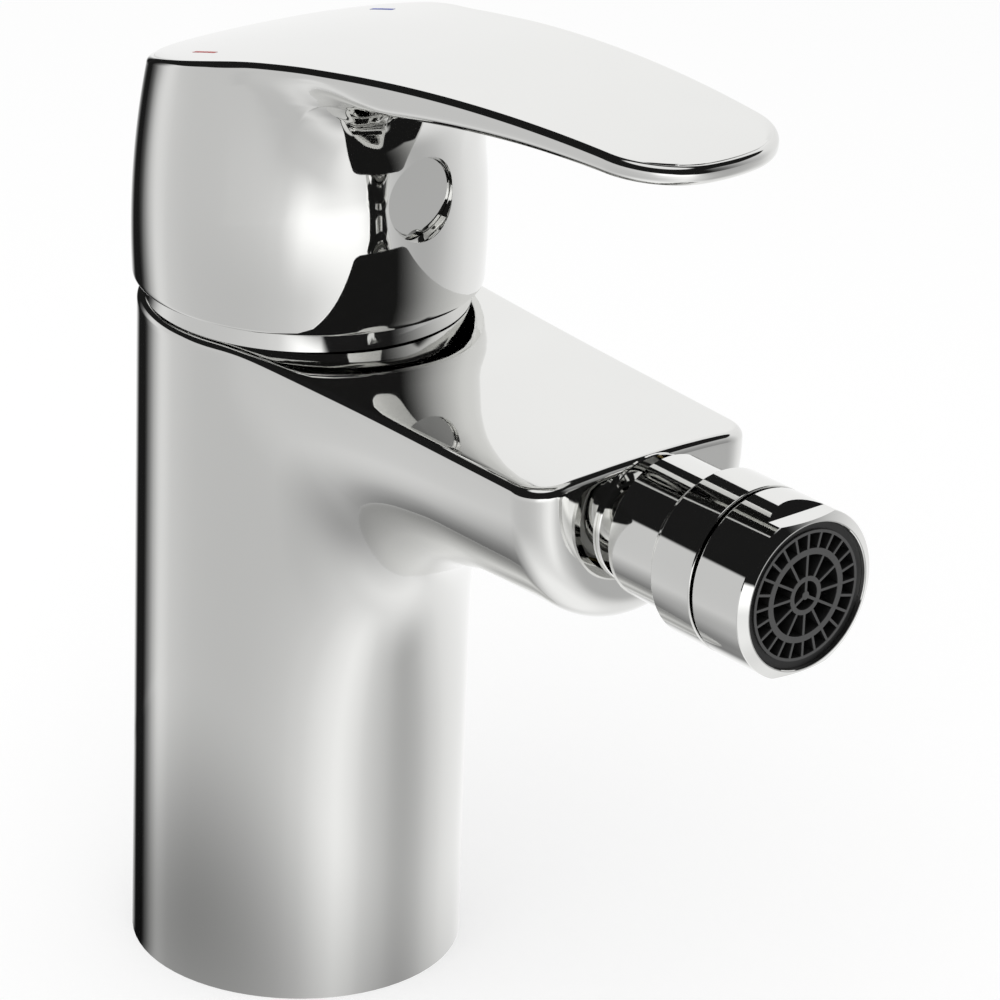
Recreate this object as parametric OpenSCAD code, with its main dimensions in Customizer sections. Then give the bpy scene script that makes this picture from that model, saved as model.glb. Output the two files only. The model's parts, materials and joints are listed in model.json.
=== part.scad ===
// Single lever bidet mixer with a swivelling aerator nozzle.
// Frame: +Z up, origin on the axis of the column at the deck, spout along +X.

/* [Column] */
// Diameter of the round column
column_d = 50; // [48:0.5:60]
// Height of the flat top of the body above the deck
body_h = 104; // [100:0.5:130]
// Bore for the hoses under the bridge
hose_bore_d = 41; // [38:0.5:43]
// Depth of the cartridge chamber below the top of the body
chamber_depth = 46; // [45:0.5:50]
// Thickness of the bridge
bridge_t = 18; // [16:0.5:22]
// Width of the gasket in the base
gasket_w = 2; // [1:0.1:2.5]
// Height of the gasket in the base
gasket_h = 2; // [1:0.1:4]

/* [Inlets] */
// Distance between the hot and cold inlets
inlet_pitch = 18; // [15:0.5:20]
// Place of the inlets in front of the column axis
inlet_x = -2; // [-4:0.5:0]
// Tapping diameter of the inlet threads, M10 x 1
inlet_d = 9; // [7:0.1:9.5]
// Depth of the inlet threads
inlet_depth = 11; // [8:0.5:13]
// Place of the fixing stud behind the column axis
stud_x = -13; // [-15:0.5:-11]
// Tapping diameter of the stud thread, M8
stud_d = 6.8; // [5:0.1:8]
// Depth of the stud thread
stud_depth = 12; // [8:0.5:14]

/* [Spout] */
// Distance from the column axis to the end of the spout
spout_reach = 75; // [60:0.5:110]
// Width of the spout at the column axis
spout_root_w = 44.4; // [42:0.2:46]
// Width of the spout at its end
spout_end_w = 40.8; // [36:0.2:44]
// Height of the spout from its rounded underside to the top of the body
spout_depth = 25.5; // [24:0.5:32]
// Fall of the top of the spout towards its end
spout_fall = 1.6; // [0:0.1:4]
// Rounding around the end of the spout
spout_round = 5.5; // [2:0.5:8]
// Diameter of the water way in the spout
way_d = 10; // [6:0.5:11]
// Diameter of the riser beside the cartridge
riser_d = 4.4; // [3:0.1:4.6]

/* [Cartridge] */
// Diameter of the cartridge housing
cart_d = 35.2; // [34:0.1:36]
// Height of the cartridge base
cart_base_h = 6; // [5:0.5:8]
// Diameter of the water ports in the cartridge
port_d = 5.6; // [4:0.1:6.5]
// Place of the mixed water port in front of the axis
outlet_x = 10; // [9:0.5:11]
// Diameter of the fixed ceramic disc
fixed_disc_d = 28.6; // [27:0.1:29]
// Diameter of the moving ceramic disc
moving_disc_d = 20; // [18:0.2:21]
// Thickness of each ceramic disc
disc_t = 4; // [3:0.1:5]
// Height of the disc carrier
carrier_h = 5; // [4.5:0.1:6]
// Diameter of the rotor flange
rotor_d = 28.6; // [27:0.1:29]
// Height of the rotor flange
rotor_flange_h = 5; // [4:0.1:6]
// Diameter of the rotor neck
neck_d = 22; // [21.5:0.1:22.6]
// Height of the hinge pin above the rotor flange
pin_rise = 5.5; // [5:0.1:7]
// Height of the rotor above the hinge pin
rotor_rise = 11; // [9:0.5:12]
// Diameter of the hinge pin
pin_d = 4; // [3:0.1:4.6]
// Thickness of the roof of the housing
housing_roof = 4.4; // [3.5:0.1:5]
// Wall of the neck of the housing
housing_wall = 2.6; // [2:0.1:3]
// Thread diameter of the nut that clamps the cartridge
nut_d = 40; // [39.4:0.2:40.4]
// Height of the threaded part of the nut
nut_thread_h = 9; // [6:0.5:9.5]
// Width across the flats of the nut
nut_af = 31.6; // [30.6:0.2:31.8]
// Height of the hexagon of the nut
nut_hex_h = 4; // [2:0.5:4.5]

/* [Cover ring] */
// Diameter of the cover ring
cover_d = 47.9; // [46:0.1:48]
// Height of the cover ring above the body
cover_h = 3.1; // [2:0.1:3.4]
// Depth of the spigot of the cover ring in the body
spigot_h = 4; // [2:0.1:5]

/* [Handle] */
// Largest diameter of the barrel of the handle
barrel_d = 51.9; // [51.4:0.1:54]
// Height of the widest place above the top of the body
belly_h = 11; // [8:0.5:14]
// Radius of the barrel curve seen from the side
belly_r = 138; // [100:1:400]
// Gap between the top of the body and the handle
skirt_gap = 3.3; // [3:0.1:5]
// Wall of the handle
handle_wall = 2.6; // [1.8:0.1:3.2]
// Thickness of the handle above its hollow
handle_roof = 4; // [3:0.1:6]
// Distance from the column axis to the tip of the lever
lever_reach = 89.5; // [75:0.5:120]
// Width of the lever at the column axis
lever_root_w = 44.4; // [40:0.2:45]
// Width of the lever at its tip
lever_tip_w = 26.4; // [20:0.2:34]
// Corner radius at the tip of the lever
lever_corner = 8.5; // [3:0.5:11]
// Height of the crest of the lever above the body
crest_h = 48.3; // [46:0.1:54]
// Place of the crest in front of the column axis
crest_x = 67.5; // [50:0.5:80]
// Radius of the arched top of the lever
arch_r = 277; // [200:1:500]
// Thickness of the lever at the crest of its underside
lever_t = 3.5; // [2.5:0.1:5]
// Radius of the arched underside of the lever
under_r = 215; // [160:1:260]
// Place of the crest of the underside in front of the column axis
under_x = 75; // [65:0.5:80]
// Largest angle that the lever lifts
lift_angle = 25; // [10:1:26]

/* [Stem] */
// Length of the stem along X
stem_x = 8; // [7:0.1:8.4]
// Width of the stem along Y
stem_y = 7.4; // [6:0.1:8]
// Length of the stem below the hinge pin
stem_arm = 12; // [11.6:0.1:12.4]
// Diameter of the ball at the lower end of the stem
stem_ball_d = 5.2; // [4:0.1:5.4]
// Height of the top of the stem above the body
stem_top = 24; // [22.5:0.5:26]
// Wall of the plastic sleeve on the stem
sleeve_t = 1.2; // [0.8:0.1:1.6]
// Length of the sleeve
sleeve_h = 11; // [8:0.5:12]
// Wall of the boss around the sleeve
boss_t = 2.6; // [2:0.1:4]
// Height of the grub screw above the body
grub_h = 21.4; // [19.5:0.1:22]
// Diameter of the grub screw
grub_d = 5.8; // [4:0.1:6]
// Length of the grub screw
grub_l = 9; // [6:0.5:10]
// Diameter of the round plug on the front
plug_d = 11.4; // [8:0.1:12]
// Length of the plug
plug_l = 4.4; // [3:0.1:5]
// Depth of the face of the plug behind the barrel at its middle
plug_sink = 0.6; // [0:0.1:1.4]

/* [Marks] */
// Length of a temperature mark
mark_l = 5; // [1:0.1:6]
// Width of a temperature mark
mark_w = 1; // [0.5:0.1:2]
// Depth of a temperature mark
mark_t = 0.5; // [0.3:0.1:1]
// Distance of the marks from the back of the barrel
mark_in = 21.7; // [11:0.1:24]
// Distance of the marks from the side of the lever
mark_edge = 5.9; // [4:0.1:12]

/* [Nozzle] */
// Depth of the nozzle axis below the top of the body
nozzle_drop = 9.4; // [8.5:0.1:14]
// Thread diameter of the nipple
nipple_d = 13; // [12:0.1:14]
// Length of the nipple thread
nipple_l = 11; // [6:0.5:14]
// Diameter of the nipple flange
flange_d = 15.2; // [15:0.1:15.4]
// Thickness of the nipple flange
flange_t = 0.5; // [0.3:0.1:0.6]
// Diameter of the neck behind the ball
ball_neck_d = 9; // [7:0.1:9.4]
// Bore through the ball
ball_bore_d = 6; // [3:0.1:6.4]
// Diameter of the ball
ball_d = 14.8; // [14:0.1:15.2]
// Distance from the end of the spout to the middle of the ball
ball_out = 9; // [8.9:0.1:12]
// Thickness of the ball seat
seat_t = 1; // [0.8:0.1:1.2]
// Length of the socket behind the middle of the ball
socket_back = 5.5; // [5.2:0.1:5.8]
// Outer diameter of the back of the socket
socket_back_d = 21; // [20.6:0.1:22]
// Outer diameter of the front of the socket and of the aerator ring
collar_d = 24.4; // [24:0.1:27]
// Where the cone of the socket starts, in front of the middle of the ball
cone_x = 3.6; // [0:0.1:4]
// Length of the cone of the socket
cone_l = 1.8; // [1:0.1:4]
// Length of the socket in front of the middle of the ball
socket_front = 13.2; // [13:0.1:16]
// Length of the seal in the socket
seal_l = 2.2; // [1.6:0.1:2.4]
// Where the retainer starts, in front of the middle of the ball
retainer_x = 3.2; // [3:0.1:3.4]
// Length of the retainer
retainer_l = 4.2; // [3.8:0.1:4.4]
// Largest angle that the nozzle swivels about each axis
swivel_angle = 12; // [4:1:12]

/* [Aerator] */
// Thread diameter of the aerator ring
aerator_thread_d = 21; // [20.6:0.1:21.4]
// Thickness of the aerator washer
washer_t = 1.2; // [0.8:0.1:2]
// Length of the aerator ring in front of the socket
ring_l = 10; // [8:0.1:14]
// Width across the wrench flats of the aerator ring
ring_af = 22; // [21.4:0.1:23]
// Length of the wrench flats
ring_flat_l = 5; // [3:0.1:6]
// Chamfer at the front of the aerator ring
ring_chamfer = 0.9; // [0.3:0.1:1.1]
// Bore at the front of the aerator ring
ring_bore_d = 19.5; // [19:0.1:19.8]
// Depth of the face of the insert behind the front of the ring
insert_sink = 0.3; // [0:0.1:2]
// Wall of the insert
insert_wall = 0.7; // [0.5:0.1:1]
// Length of the insert
insert_l = 9; // [5:0.5:9.4]
// Depth of the web of the insert
web_l = 2.5; // [1:0.1:4]
// Radius of the wide ring of the web
web_ring_r = 6.2; // [5.6:0.1:6.8]
// Radius of the small ring of the web
web_small_r = 2.5; // [2:0.1:3]
// Thickness of the strainer
strainer_t = 1; // [0.6:0.1:1.4]

/* [Fits] */
// Radial clearance of a shaft that turns in its hole
run_gap = 0.05; // [0.02:0.01:0.08]
// Clearance between pieces that move past each other
free_gap = 0.3; // [0.25:0.01:0.35]
// Clearance of a screwed or pushed in piece
seat_gap = 0.1; // [0.05:0.01:0.15]
// Film of water between the ceramic discs
film = 0.05; // [0.02:0.01:0.1]

/* [Hidden] */
$fn = 96;

// Colours
chrome = [0.80, 0.81, 0.80];
brass = [0.80, 0.66, 0.36];
rubber = [0.12, 0.12, 0.12];
white_plastic = [0.90, 0.90, 0.88];
grey_plastic = [0.45, 0.46, 0.47];
black_plastic = [0.10, 0.10, 0.11];
ceramic = [0.93, 0.92, 0.89];
steel = [0.62, 0.63, 0.65];

big = 400;
eps = 0.01;
arc_steps = 10;

// Heights of the cartridge stack
floor_z = body_h - chamber_depth;
bridge_z = floor_z - bridge_t;
base_top = floor_z + cart_base_h;
fixed_top = base_top + disc_t;
moving_z = fixed_top + film;
moving_top = moving_z + disc_t;
carrier_top = moving_top + carrier_h;
rotor_z = carrier_top + free_gap;
rotor_flange_top = rotor_z + rotor_flange_h;
pin_z = rotor_flange_top + pin_rise;
rotor_top = pin_z + rotor_rise;
housing_shoulder = rotor_flange_top + free_gap + housing_roof;
housing_top = rotor_top - 1;

// Radii of the cartridge
chamber_r = cart_d / 2 + 0.4;
housing_bore_r = fixed_disc_d / 2 + seat_gap;
neck_bore_r = neck_d / 2 + run_gap;
housing_neck_r = neck_bore_r + housing_wall;
nut_bore_r = housing_neck_r + free_gap;
nut_seat_r = nut_d / 2;
port_seal_r = port_d / 2 + 1.4;
port_seal_h = 1.6;
disc_shift = stem_arm * lift_angle * PI / 180;
ports = [[inlet_x, inlet_pitch / 2], [inlet_x, -inlet_pitch / 2], [outlet_x, 0]];

// Places of the water way
nozzle_z = body_h - nozzle_drop;
column_r = column_d / 2;
riser_x = (chamber_r + column_r) / 2;
cross_z = floor_z - 5;

// The rounded underside of the spout is part of a lying cylinder
spout_r = spout_root_w / 2;
spout_axis_z = body_h - spout_depth + spout_r;
fall_angle = atan(spout_fall / (spout_reach - fall_start()));
function fall_start() = column_d * 0.3;

// The handle
skirt_z = body_h + skirt_gap + 0.4;
skirt_low = body_h + skirt_gap - 0.2;
belly_z = body_h + belly_h;
barrel_r = barrel_d / 2;
crest_z = body_h + crest_h;
arch_z = crest_z - arch_r;
under_z = crest_z - lever_t - under_r;
barrel_top = crest_z - 2;
lip_r = cover_d / 2 + free_gap + 0.1;
function barrel_at(z) = barrel_r - (belly_r - sqrt(belly_r * belly_r - (z - belly_z) * (z - belly_z)));

// The stem and what holds the handle on it
grub_z = body_h + grub_h;
stem_top_z = body_h + stem_top;
sleeve_z = stem_top_z - sleeve_h;
sleeve_x = stem_x + 2 * (sleeve_t + seat_gap);
sleeve_y = stem_y + 2 * (sleeve_t + seat_gap);
boss_x = sleeve_x + 2 * seat_gap;
boss_y = sleeve_y + 2 * seat_gap;
boss_front = stem_x / 2 + grub_l + 1.4;
hub_r = pin_d / 2 + 2.2;
shank_r = stem_ball_d / 2 - 0.4;
pocket_r = stem_ball_d / 2 + free_gap + 0.15;
plug_face = barrel_at(grub_z) - plug_sink;
mark_x = mark_in - barrel_r;
mark_y = lever_root_w / 2 - mark_edge;

// The ball joint
ball_x = spout_reach + ball_out;
ball_r = ball_d / 2;
seat_in_r = ball_r + free_gap;
seat_out_r = seat_in_r + seat_t;
socket_r = seat_out_r + free_gap;
seal_start = retainer_x + 0.1;
seal_angle = acos(seal_start / ((seat_in_r + seat_out_r) / 2));
seat_front = seat_out_r * cos(seal_angle + swivel_angle + 3);
seat_back = seat_out_r * cos(114);
socket_shoulder = retainer_x + retainer_l + 0.2;
socket_end = ball_x + socket_front;
thread_r = aerator_thread_d / 2;
washer_x = ball_x + socket_shoulder;
ring_back = washer_x + washer_t;
ring_front = socket_end + seat_gap + ring_l;
insert_front = ring_front - insert_sink;
insert_r = ring_bore_d / 2 - seat_gap;
insert_back = insert_front - insert_l;
step_r = thread_r - 1.6;

// Points of a rounded corner with its centre, radius and start and end angles
function corner(c, r, a0, a1) = [
  for (i = [0:arc_steps]) c + r * [cos(a0 + (a1 - a0) * i / arc_steps), sin(a0 + (a1 - a0) * i / arc_steps)]
];

// Plan with straight sides that taper from one width to another, rounded at the far end
module taper_plan(x0, x1, w0, w1, r) {
  slope = atan((w0 - w1) / 2 / x1);
  cx = x1 - r;
  cy = w0 / 2 - tan(slope) * cx - r / cos(slope);
  start = [x0, w0 / 2 - tan(slope) * x0];
  upper = concat([start], corner([cx, cy], r, 90 - slope, 0));
  lower = [for (i = [len(upper) - 1:-1:0]) [upper[i][0], -upper[i][1]]];
  polygon(concat(upper, lower));
}

// Ring about Z
module ring(r_out, r_in, z0, z1) {
  translate([0, 0, z0])
    difference() {
      cylinder(r = r_out, h = z1 - z0);
      translate([0, 0, -1]) cylinder(r = r_in, h = z1 - z0 + 2);
    }
}

// Places its children on the nozzle axis at a distance from the column, with their Z along +X
module along_nozzle(x) {
  translate([x, 0, nozzle_z]) rotate([0, 90, 0]) children();
}

// Plain rod on the nozzle axis
module nozzle_rod(r, x0, x1) {
  along_nozzle(x0) cylinder(r = r, h = x1 - x0);
}

// Everything below the top of the body, which falls a little along the spout
module below_top() {
  difference() {
    translate([-big / 2, -big / 2, -1]) cube([big, big, body_h + 1]);
    translate([fall_start(), -big / 2, body_h]) rotate([0, fall_angle, 0]) cube([big, big, big / 4]);
  }
}

// Column and spout as one solid
module body_outside() {
  intersection() {
    union() {
      cylinder(r = column_r, h = body_h);
      intersection() {
        translate([0, 0, spout_axis_z])
          rotate([0, 90, 0])
            rotate_extrude()
              polygon(concat([[0, 0], [spout_r, 0]],
                corner([spout_r - spout_round, spout_reach - spout_round], spout_round, 0, 90),
                [[0, spout_reach]]));
        linear_extrude(body_h + 1)
          taper_plan(0, spout_reach, spout_root_w, spout_end_w, spout_round);
      }
    }
    below_top();
  }
}

module body_casting() {
  color(chrome)
    difference() {
      body_outside();
      // Space for the hoses
      translate([0, 0, -1]) cylinder(d = hose_bore_d, h = bridge_z + 1);
      ring((column_r + hose_bore_d / 2 + gasket_w) / 2, (column_r + hose_bore_d / 2 - gasket_w) / 2, -1, gasket_h);
      // Inlets and stud
      for (side = [-1, 1]) {
        translate([inlet_x, side * inlet_pitch / 2, bridge_z - 1]) cylinder(d = inlet_d, h = inlet_depth + 1);
        translate([inlet_x, side * inlet_pitch / 2, bridge_z]) cylinder(d = port_d, h = bridge_t + 1);
      }
      translate([stud_x, 0, bridge_z - 1]) cylinder(d = stud_d, h = stud_depth + 1);
      // Chamber of the cartridge and seat of its nut
      translate([0, 0, floor_z]) cylinder(r = chamber_r, h = body_h);
      translate([0, 0, housing_shoulder]) cylinder(r = nut_seat_r, h = body_h);
      // Way of the mixed water: down, across, up and along the spout
      translate([outlet_x, 0, cross_z]) cylinder(d = port_d, h = floor_z - cross_z + 1);
      translate([outlet_x, 0, cross_z]) rotate([0, 90, 0]) cylinder(d = riser_d, h = riser_x - outlet_x);
      translate([riser_x, 0, cross_z]) cylinder(d = riser_d, h = nozzle_z - cross_z);
      nozzle_rod(way_d / 2, nut_seat_r + 1.2, spout_reach - nipple_l);
      nozzle_rod(nipple_d / 2 + seat_gap, spout_reach - nipple_l - 0.5, spout_reach + 1);
      nozzle_rod(nipple_d / 2 + 1, spout_reach - 1.2, spout_reach + 1);
    }
}

module base_gasket() {
  middle = (column_r + hose_bore_d / 2) / 2;
  color(rubber) ring(middle + gasket_w / 2 - 0.05, middle - gasket_w / 2 + 0.05, 0, gasket_h);
}

module cartridge_base() {
  color(white_plastic)
    difference() {
      translate([0, 0, floor_z]) cylinder(r = cart_d / 2, h = cart_base_h);
      for (p = ports) {
        translate([p[0], p[1], floor_z - 1]) cylinder(d = port_d, h = cart_base_h + 2);
        translate([p[0], p[1], floor_z - 1]) cylinder(r = port_seal_r, h = port_seal_h + 1);
      }
    }
}

module port_seals() {
  color(rubber)
    for (p = ports)
      translate([p[0], p[1], 0]) ring(port_seal_r - 0.05, port_d / 2 + 0.1, floor_z, floor_z + port_seal_h);
}

module fixed_disc() {
  color(ceramic)
    difference() {
      translate([0, 0, base_top]) cylinder(d = fixed_disc_d, h = disc_t);
      for (p = ports) translate([p[0], p[1], base_top - 1]) cylinder(d = port_d, h = disc_t + 2);
    }
}

module cartridge_housing() {
  color(grey_plastic)
    difference() {
      union() {
        translate([0, 0, base_top]) cylinder(r = cart_d / 2, h = housing_shoulder - base_top);
        translate([0, 0, base_top]) cylinder(r = housing_neck_r, h = housing_top - base_top);
      }
      translate([0, 0, base_top - 1])
        cylinder(r = housing_bore_r, h = rotor_flange_top + free_gap - base_top + 1);
      translate([0, 0, base_top]) cylinder(r = neck_bore_r, h = big);
    }
}

module cartridge_nut() {
  hex_z = housing_shoulder + nut_thread_h;
  color(brass)
    difference() {
      union() {
        translate([0, 0, housing_shoulder]) cylinder(r = nut_seat_r - seat_gap, h = nut_thread_h);
        translate([0, 0, hex_z]) cylinder(d = nut_af / cos(30), h = nut_hex_h, $fn = 6);
      }
      translate([0, 0, housing_shoulder - 1]) cylinder(r = nut_bore_r, h = big);
    }
}

module cover_ring() {
  r = cover_d / 2;
  spigot_r = nut_seat_r - seat_gap;
  hole_r = nut_bore_r + 0.6;
  top = body_h + cover_h;
  color(chrome)
    rotate_extrude()
      polygon([
        [spigot_r - 1, body_h - spigot_h], [spigot_r, body_h - spigot_h], [spigot_r, body_h], [r, body_h],
        [r, top - 1.5], [r - 0.35, top - 0.6], [r - 1.1, top], [hole_r, top], [hole_r, top - 1.6],
        [spigot_r - 1, top - 1.6]
      ]);
}

module ball_nipple() {
  color(chrome)
    difference() {
      union() {
        nozzle_rod(nipple_d / 2, spout_reach - nipple_l, spout_reach + eps);
        nozzle_rod(flange_d / 2, spout_reach, spout_reach + flange_t);
        nozzle_rod(ball_neck_d / 2, spout_reach, ball_x);
        translate([ball_x, 0, nozzle_z]) sphere(r = ball_r);
      }
      nozzle_rod(ball_bore_d / 2, spout_reach - nipple_l - 1, ball_x + ball_d);
    }
}

module nipple_seal() {
  color(rubber)
    along_nozzle(spout_reach - 1.15)
      ring(nipple_d / 2 + 0.95, nipple_d / 2 + 0.05, 0, 1.1);
}

// Slot of the rotor in which the stem swings, seen from the side with the pin at its origin
module stem_sweep() {
  half = stem_x / 2;
  up = rotor_rise + 1;
  down = pin_rise + rotor_flange_h + 1;
  lean = tan(lift_angle);
  room = free_gap + 0.2;
  side = max(half / cos(lift_angle), hub_r) + room;
  foot = shank_r / cos(lift_angle) + room;
  polygon([
    [-foot, -down], [foot + down * lean, -down], [side, -hub_r], [side, up],
    [-side - up * lean, up], [-side, 0], [-side, -hub_r]
  ]);
}

module rotor() {
  slot = stem_y + 2 * free_gap;
  color(white_plastic)
    difference() {
      union() {
        translate([0, 0, rotor_z]) cylinder(d = rotor_d - 2 * free_gap, h = rotor_flange_h);
        translate([0, 0, rotor_z]) cylinder(d = neck_d, h = rotor_top - rotor_z);
      }
      translate([0, slot / 2, pin_z]) rotate([90, 0, 0]) linear_extrude(slot) stem_sweep();
      translate([0, -neck_d, pin_z]) rotate([-90, 0, 0]) cylinder(d = pin_d, h = 2 * neck_d);
    }
}

module hinge_pin() {
  length = neck_d - 2;
  color(steel) translate([0, -length / 2, pin_z]) rotate([-90, 0, 0]) cylinder(d = pin_d, h = length);
}

module disc_carrier() {
  color(white_plastic)
    difference() {
      translate([-disc_shift / 2, 0, moving_top]) cylinder(d = moving_disc_d + 1, h = carrier_h);
      translate([0, 0, moving_top + 0.6]) cylinder(r = pocket_r, h = carrier_h);
    }
}

module moving_disc() {
  color(ceramic)
    difference() {
      translate([-disc_shift / 2, 0, moving_z]) cylinder(d = moving_disc_d, h = disc_t);
      translate([-disc_shift / 2, 0, moving_z - 1]) cylinder(d = moving_disc_d * 0.55, h = disc_t / 2 + 1);
    }
}

// Barrel of the handle from its skirt up, with the wall taken off by inset
module barrel(inset, z0) {
  steps = 14;
  rotate_extrude()
    polygon(concat(
      [[0, z0]],
      [for (i = [0:steps]) let (z = z0 + (barrel_top - z0) * i / steps) [barrel_at(z) - inset, z]],
      [[0, barrel_top]]));
}

// Everything under the arched top of the lever
module under_arch(drop) {
  translate([crest_x, big / 2, arch_z]) rotate([90, 0, 0]) cylinder(r = arch_r - drop, h = big, $fn = 360);
}

module blade() {
  difference() {
    translate([0, 0, grub_z])
      linear_extrude(big / 4)
        taper_plan(0, lever_reach, lever_root_w, lever_tip_w, lever_corner);
    translate([under_x, big / 2, under_z]) rotate([90, 0, 0]) cylinder(r = under_r, h = big, $fn = 360);
  }
}

module handle_hollow() {
  lip_top = skirt_z + 1.4;
  intersection() {
    union() {
      translate([0, 0, body_h]) cylinder(r = lip_r, h = lip_top - body_h);
      translate([0, 0, lip_top - eps])
        cylinder(r1 = lip_r, r2 = barrel_at(lip_top + 4) - handle_wall, h = 4 + eps);
      barrel(handle_wall, lip_top + 4);
    }
    under_arch(handle_roof);
  }
}

module stem_boss() {
  intersection() {
    translate([-boss_x / 2 - boss_t, -boss_y / 2 - boss_t, sleeve_z])
      cube([boss_x / 2 + boss_t + boss_front, boss_y + 2 * boss_t, big / 4]);
    under_arch(handle_roof / 2);
    barrel(handle_wall / 2, body_h);
  }
}

module lever_handle() {
  color(chrome)
    difference() {
      union() {
        difference() {
          intersection() {
            union() {
              barrel(0, skirt_z);
              translate([0, 0, skirt_low])
                cylinder(r1 = barrel_at(skirt_z) - 0.8, r2 = barrel_at(skirt_z), h = skirt_z - skirt_low + eps);
              blade();
            }
            under_arch(0);
          }
          handle_hollow();
        }
        stem_boss();
      }
      // Seat of the sleeve, thread of the grub screw and hole of the plug
      translate([-boss_x / 2, -boss_y / 2, sleeve_z - 1]) cube([boss_x, boss_y, sleeve_h + 1 + seat_gap]);
      translate([0, 0, grub_z]) rotate([0, 90, 0]) cylinder(d = grub_d + 2 * seat_gap, h = boss_front + 1);
      translate([boss_front, 0, grub_z]) rotate([0, 90, 0]) cylinder(d = plug_d + 2 * seat_gap, h = column_d);
      for (side = [-1, 1]) mark_shape(side, seat_gap);
    }
}

module lever_stem() {
  color(steel)
    difference() {
      union() {
        translate([-stem_x / 2, -stem_y / 2, pin_z]) cube([stem_x, stem_y, stem_top_z - pin_z]);
        translate([0, -stem_y / 2, pin_z]) rotate([-90, 0, 0]) cylinder(r = hub_r, h = stem_y);
        translate([0, 0, pin_z - stem_arm]) cylinder(r = shank_r, h = stem_arm);
        translate([0, 0, pin_z - stem_arm]) sphere(d = stem_ball_d);
      }
      translate([0, -stem_y, pin_z]) rotate([-90, 0, 0]) cylinder(r = pin_d / 2 + run_gap, h = 2 * stem_y);
    }
}

module stem_sleeve() {
  color(white_plastic)
    difference() {
      translate([-sleeve_x / 2, -sleeve_y / 2, sleeve_z]) cube([sleeve_x, sleeve_y, sleeve_h]);
      translate([-stem_x / 2 - seat_gap, -stem_y / 2 - seat_gap, sleeve_z - 1])
        cube([stem_x + 2 * seat_gap, stem_y + 2 * seat_gap, sleeve_h + 2]);
      translate([0, 0, grub_z]) rotate([0, 90, 0]) cylinder(d = grub_d + 2 * seat_gap, h = sleeve_x);
    }
}

module grub_screw() {
  color(steel)
    translate([stem_x / 2, 0, grub_z])
      rotate([0, 90, 0])
        difference() {
          cylinder(d = grub_d, h = grub_l);
          translate([0, 0, grub_l - 3]) cylinder(d = grub_d * 0.55, h = 4, $fn = 6);
        }
}

module screw_plug() {
  color(chrome)
    translate([plug_face - plug_l, 0, grub_z])
      rotate([0, 90, 0])
        difference() {
          cylinder(d = plug_d, h = plug_l);
          translate([0, 0, -1]) cylinder(d = plug_d - 3, h = plug_l - 0.6);
        }
}

// A short bar let into the top of the lever
module mark_shape(side, gap) {
  intersection() {
    translate([mark_x - mark_l / 2 - gap, side * mark_y - mark_w / 2 - gap, body_h])
      cube([mark_l + 2 * gap, mark_w + 2 * gap, big / 4]);
    difference() {
      under_arch(gap > 0 ? -1 : 0);
      under_arch(mark_t);
    }
  }
}

module hot_mark() {
  color([0.75, 0.08, 0.08]) mark_shape(-1, 0);
}

module cold_mark() {
  color([0.10, 0.20, 0.65]) mark_shape(1, 0);
}

// Zone of a hollow ball about the middle of the ball joint, between two planes across the nozzle
module ball_zone(r_in, r_out, x0, x1) {
  intersection() {
    difference() {
      translate([ball_x, 0, nozzle_z]) sphere(r = r_out);
      translate([ball_x, 0, nozzle_z]) sphere(r = r_in);
    }
    nozzle_rod(big / 4, ball_x + x0, ball_x + x1);
  }
}

module ball_seat() {
  color(white_plastic) ball_zone(seat_in_r, seat_out_r, seat_back, seat_front);
}

module swivel_socket() {
  back_r = socket_back_d / 2;
  front_r = collar_d / 2;
  color(chrome)
    difference() {
      along_nozzle(ball_x)
        rotate_extrude()
          polygon([
            [0, -socket_back], [back_r - 0.6, -socket_back], [back_r, -socket_back + 0.6], [back_r, cone_x],
            [front_r, cone_x + cone_l], [front_r, socket_front], [0, socket_front]
          ]);
      translate([ball_x, 0, nozzle_z]) sphere(r = socket_r);
      nozzle_rod(socket_r, ball_x, ball_x + socket_shoulder);
      nozzle_rod(thread_r + seat_gap, ball_x + socket_shoulder, socket_end + 1);
    }
}

module socket_seal() {
  color(rubber) ball_zone(seat_in_r, socket_r - 0.05, seal_start, seal_start + seal_l);
}

module ball_retainer() {
  color(brass)
    difference() {
      nozzle_rod(socket_r - seat_gap, ball_x + retainer_x, ball_x + retainer_x + retainer_l);
      translate([ball_x, 0, nozzle_z]) sphere(r = socket_r);
    }
}

module aerator_ring() {
  front_r = collar_d / 2;
  shoulder = socket_end + seat_gap - ring_back;
  front = ring_front - ring_back;
  bore_back = insert_back - ring_back;
  color(chrome)
    difference() {
      along_nozzle(ring_back)
        rotate_extrude()
          polygon([
            [step_r, 0], [thread_r, 0], [thread_r, shoulder], [front_r, shoulder],
            [front_r, front - ring_chamfer], [front_r - ring_chamfer, front], [ring_bore_d / 2, front],
            [ring_bore_d / 2, bore_back], [step_r, bore_back]
          ]);
      for (side = [-1, 1])
        translate([ring_front - ring_flat_l, -front_r, nozzle_z + side * ring_af / 2 - (side < 0 ? 5 : 0)])
          cube([ring_flat_l + 1, collar_d, 5]);
    }
}

// Spokes of the web between two radii
module spokes(count, r0, r1, width) {
  for (i = [0:count - 1])
    rotate(360 * i / count) translate([r0, -width / 2]) square([r1 - r0, width]);
}

module web_plan() {
  rim = insert_r - insert_wall;
  difference() {
    circle(r = web_ring_r + 0.45);
    circle(r = web_ring_r - 0.45);
  }
  difference() {
    circle(r = web_small_r + 0.25);
    circle(r = web_small_r - 0.25);
  }
  circle(r = 0.6);
  spokes(24, web_ring_r, rim + 0.2, 0.3);
  spokes(12, web_small_r, web_ring_r, 0.3);
  spokes(3, 0, web_small_r, 0.3);
}

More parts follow.
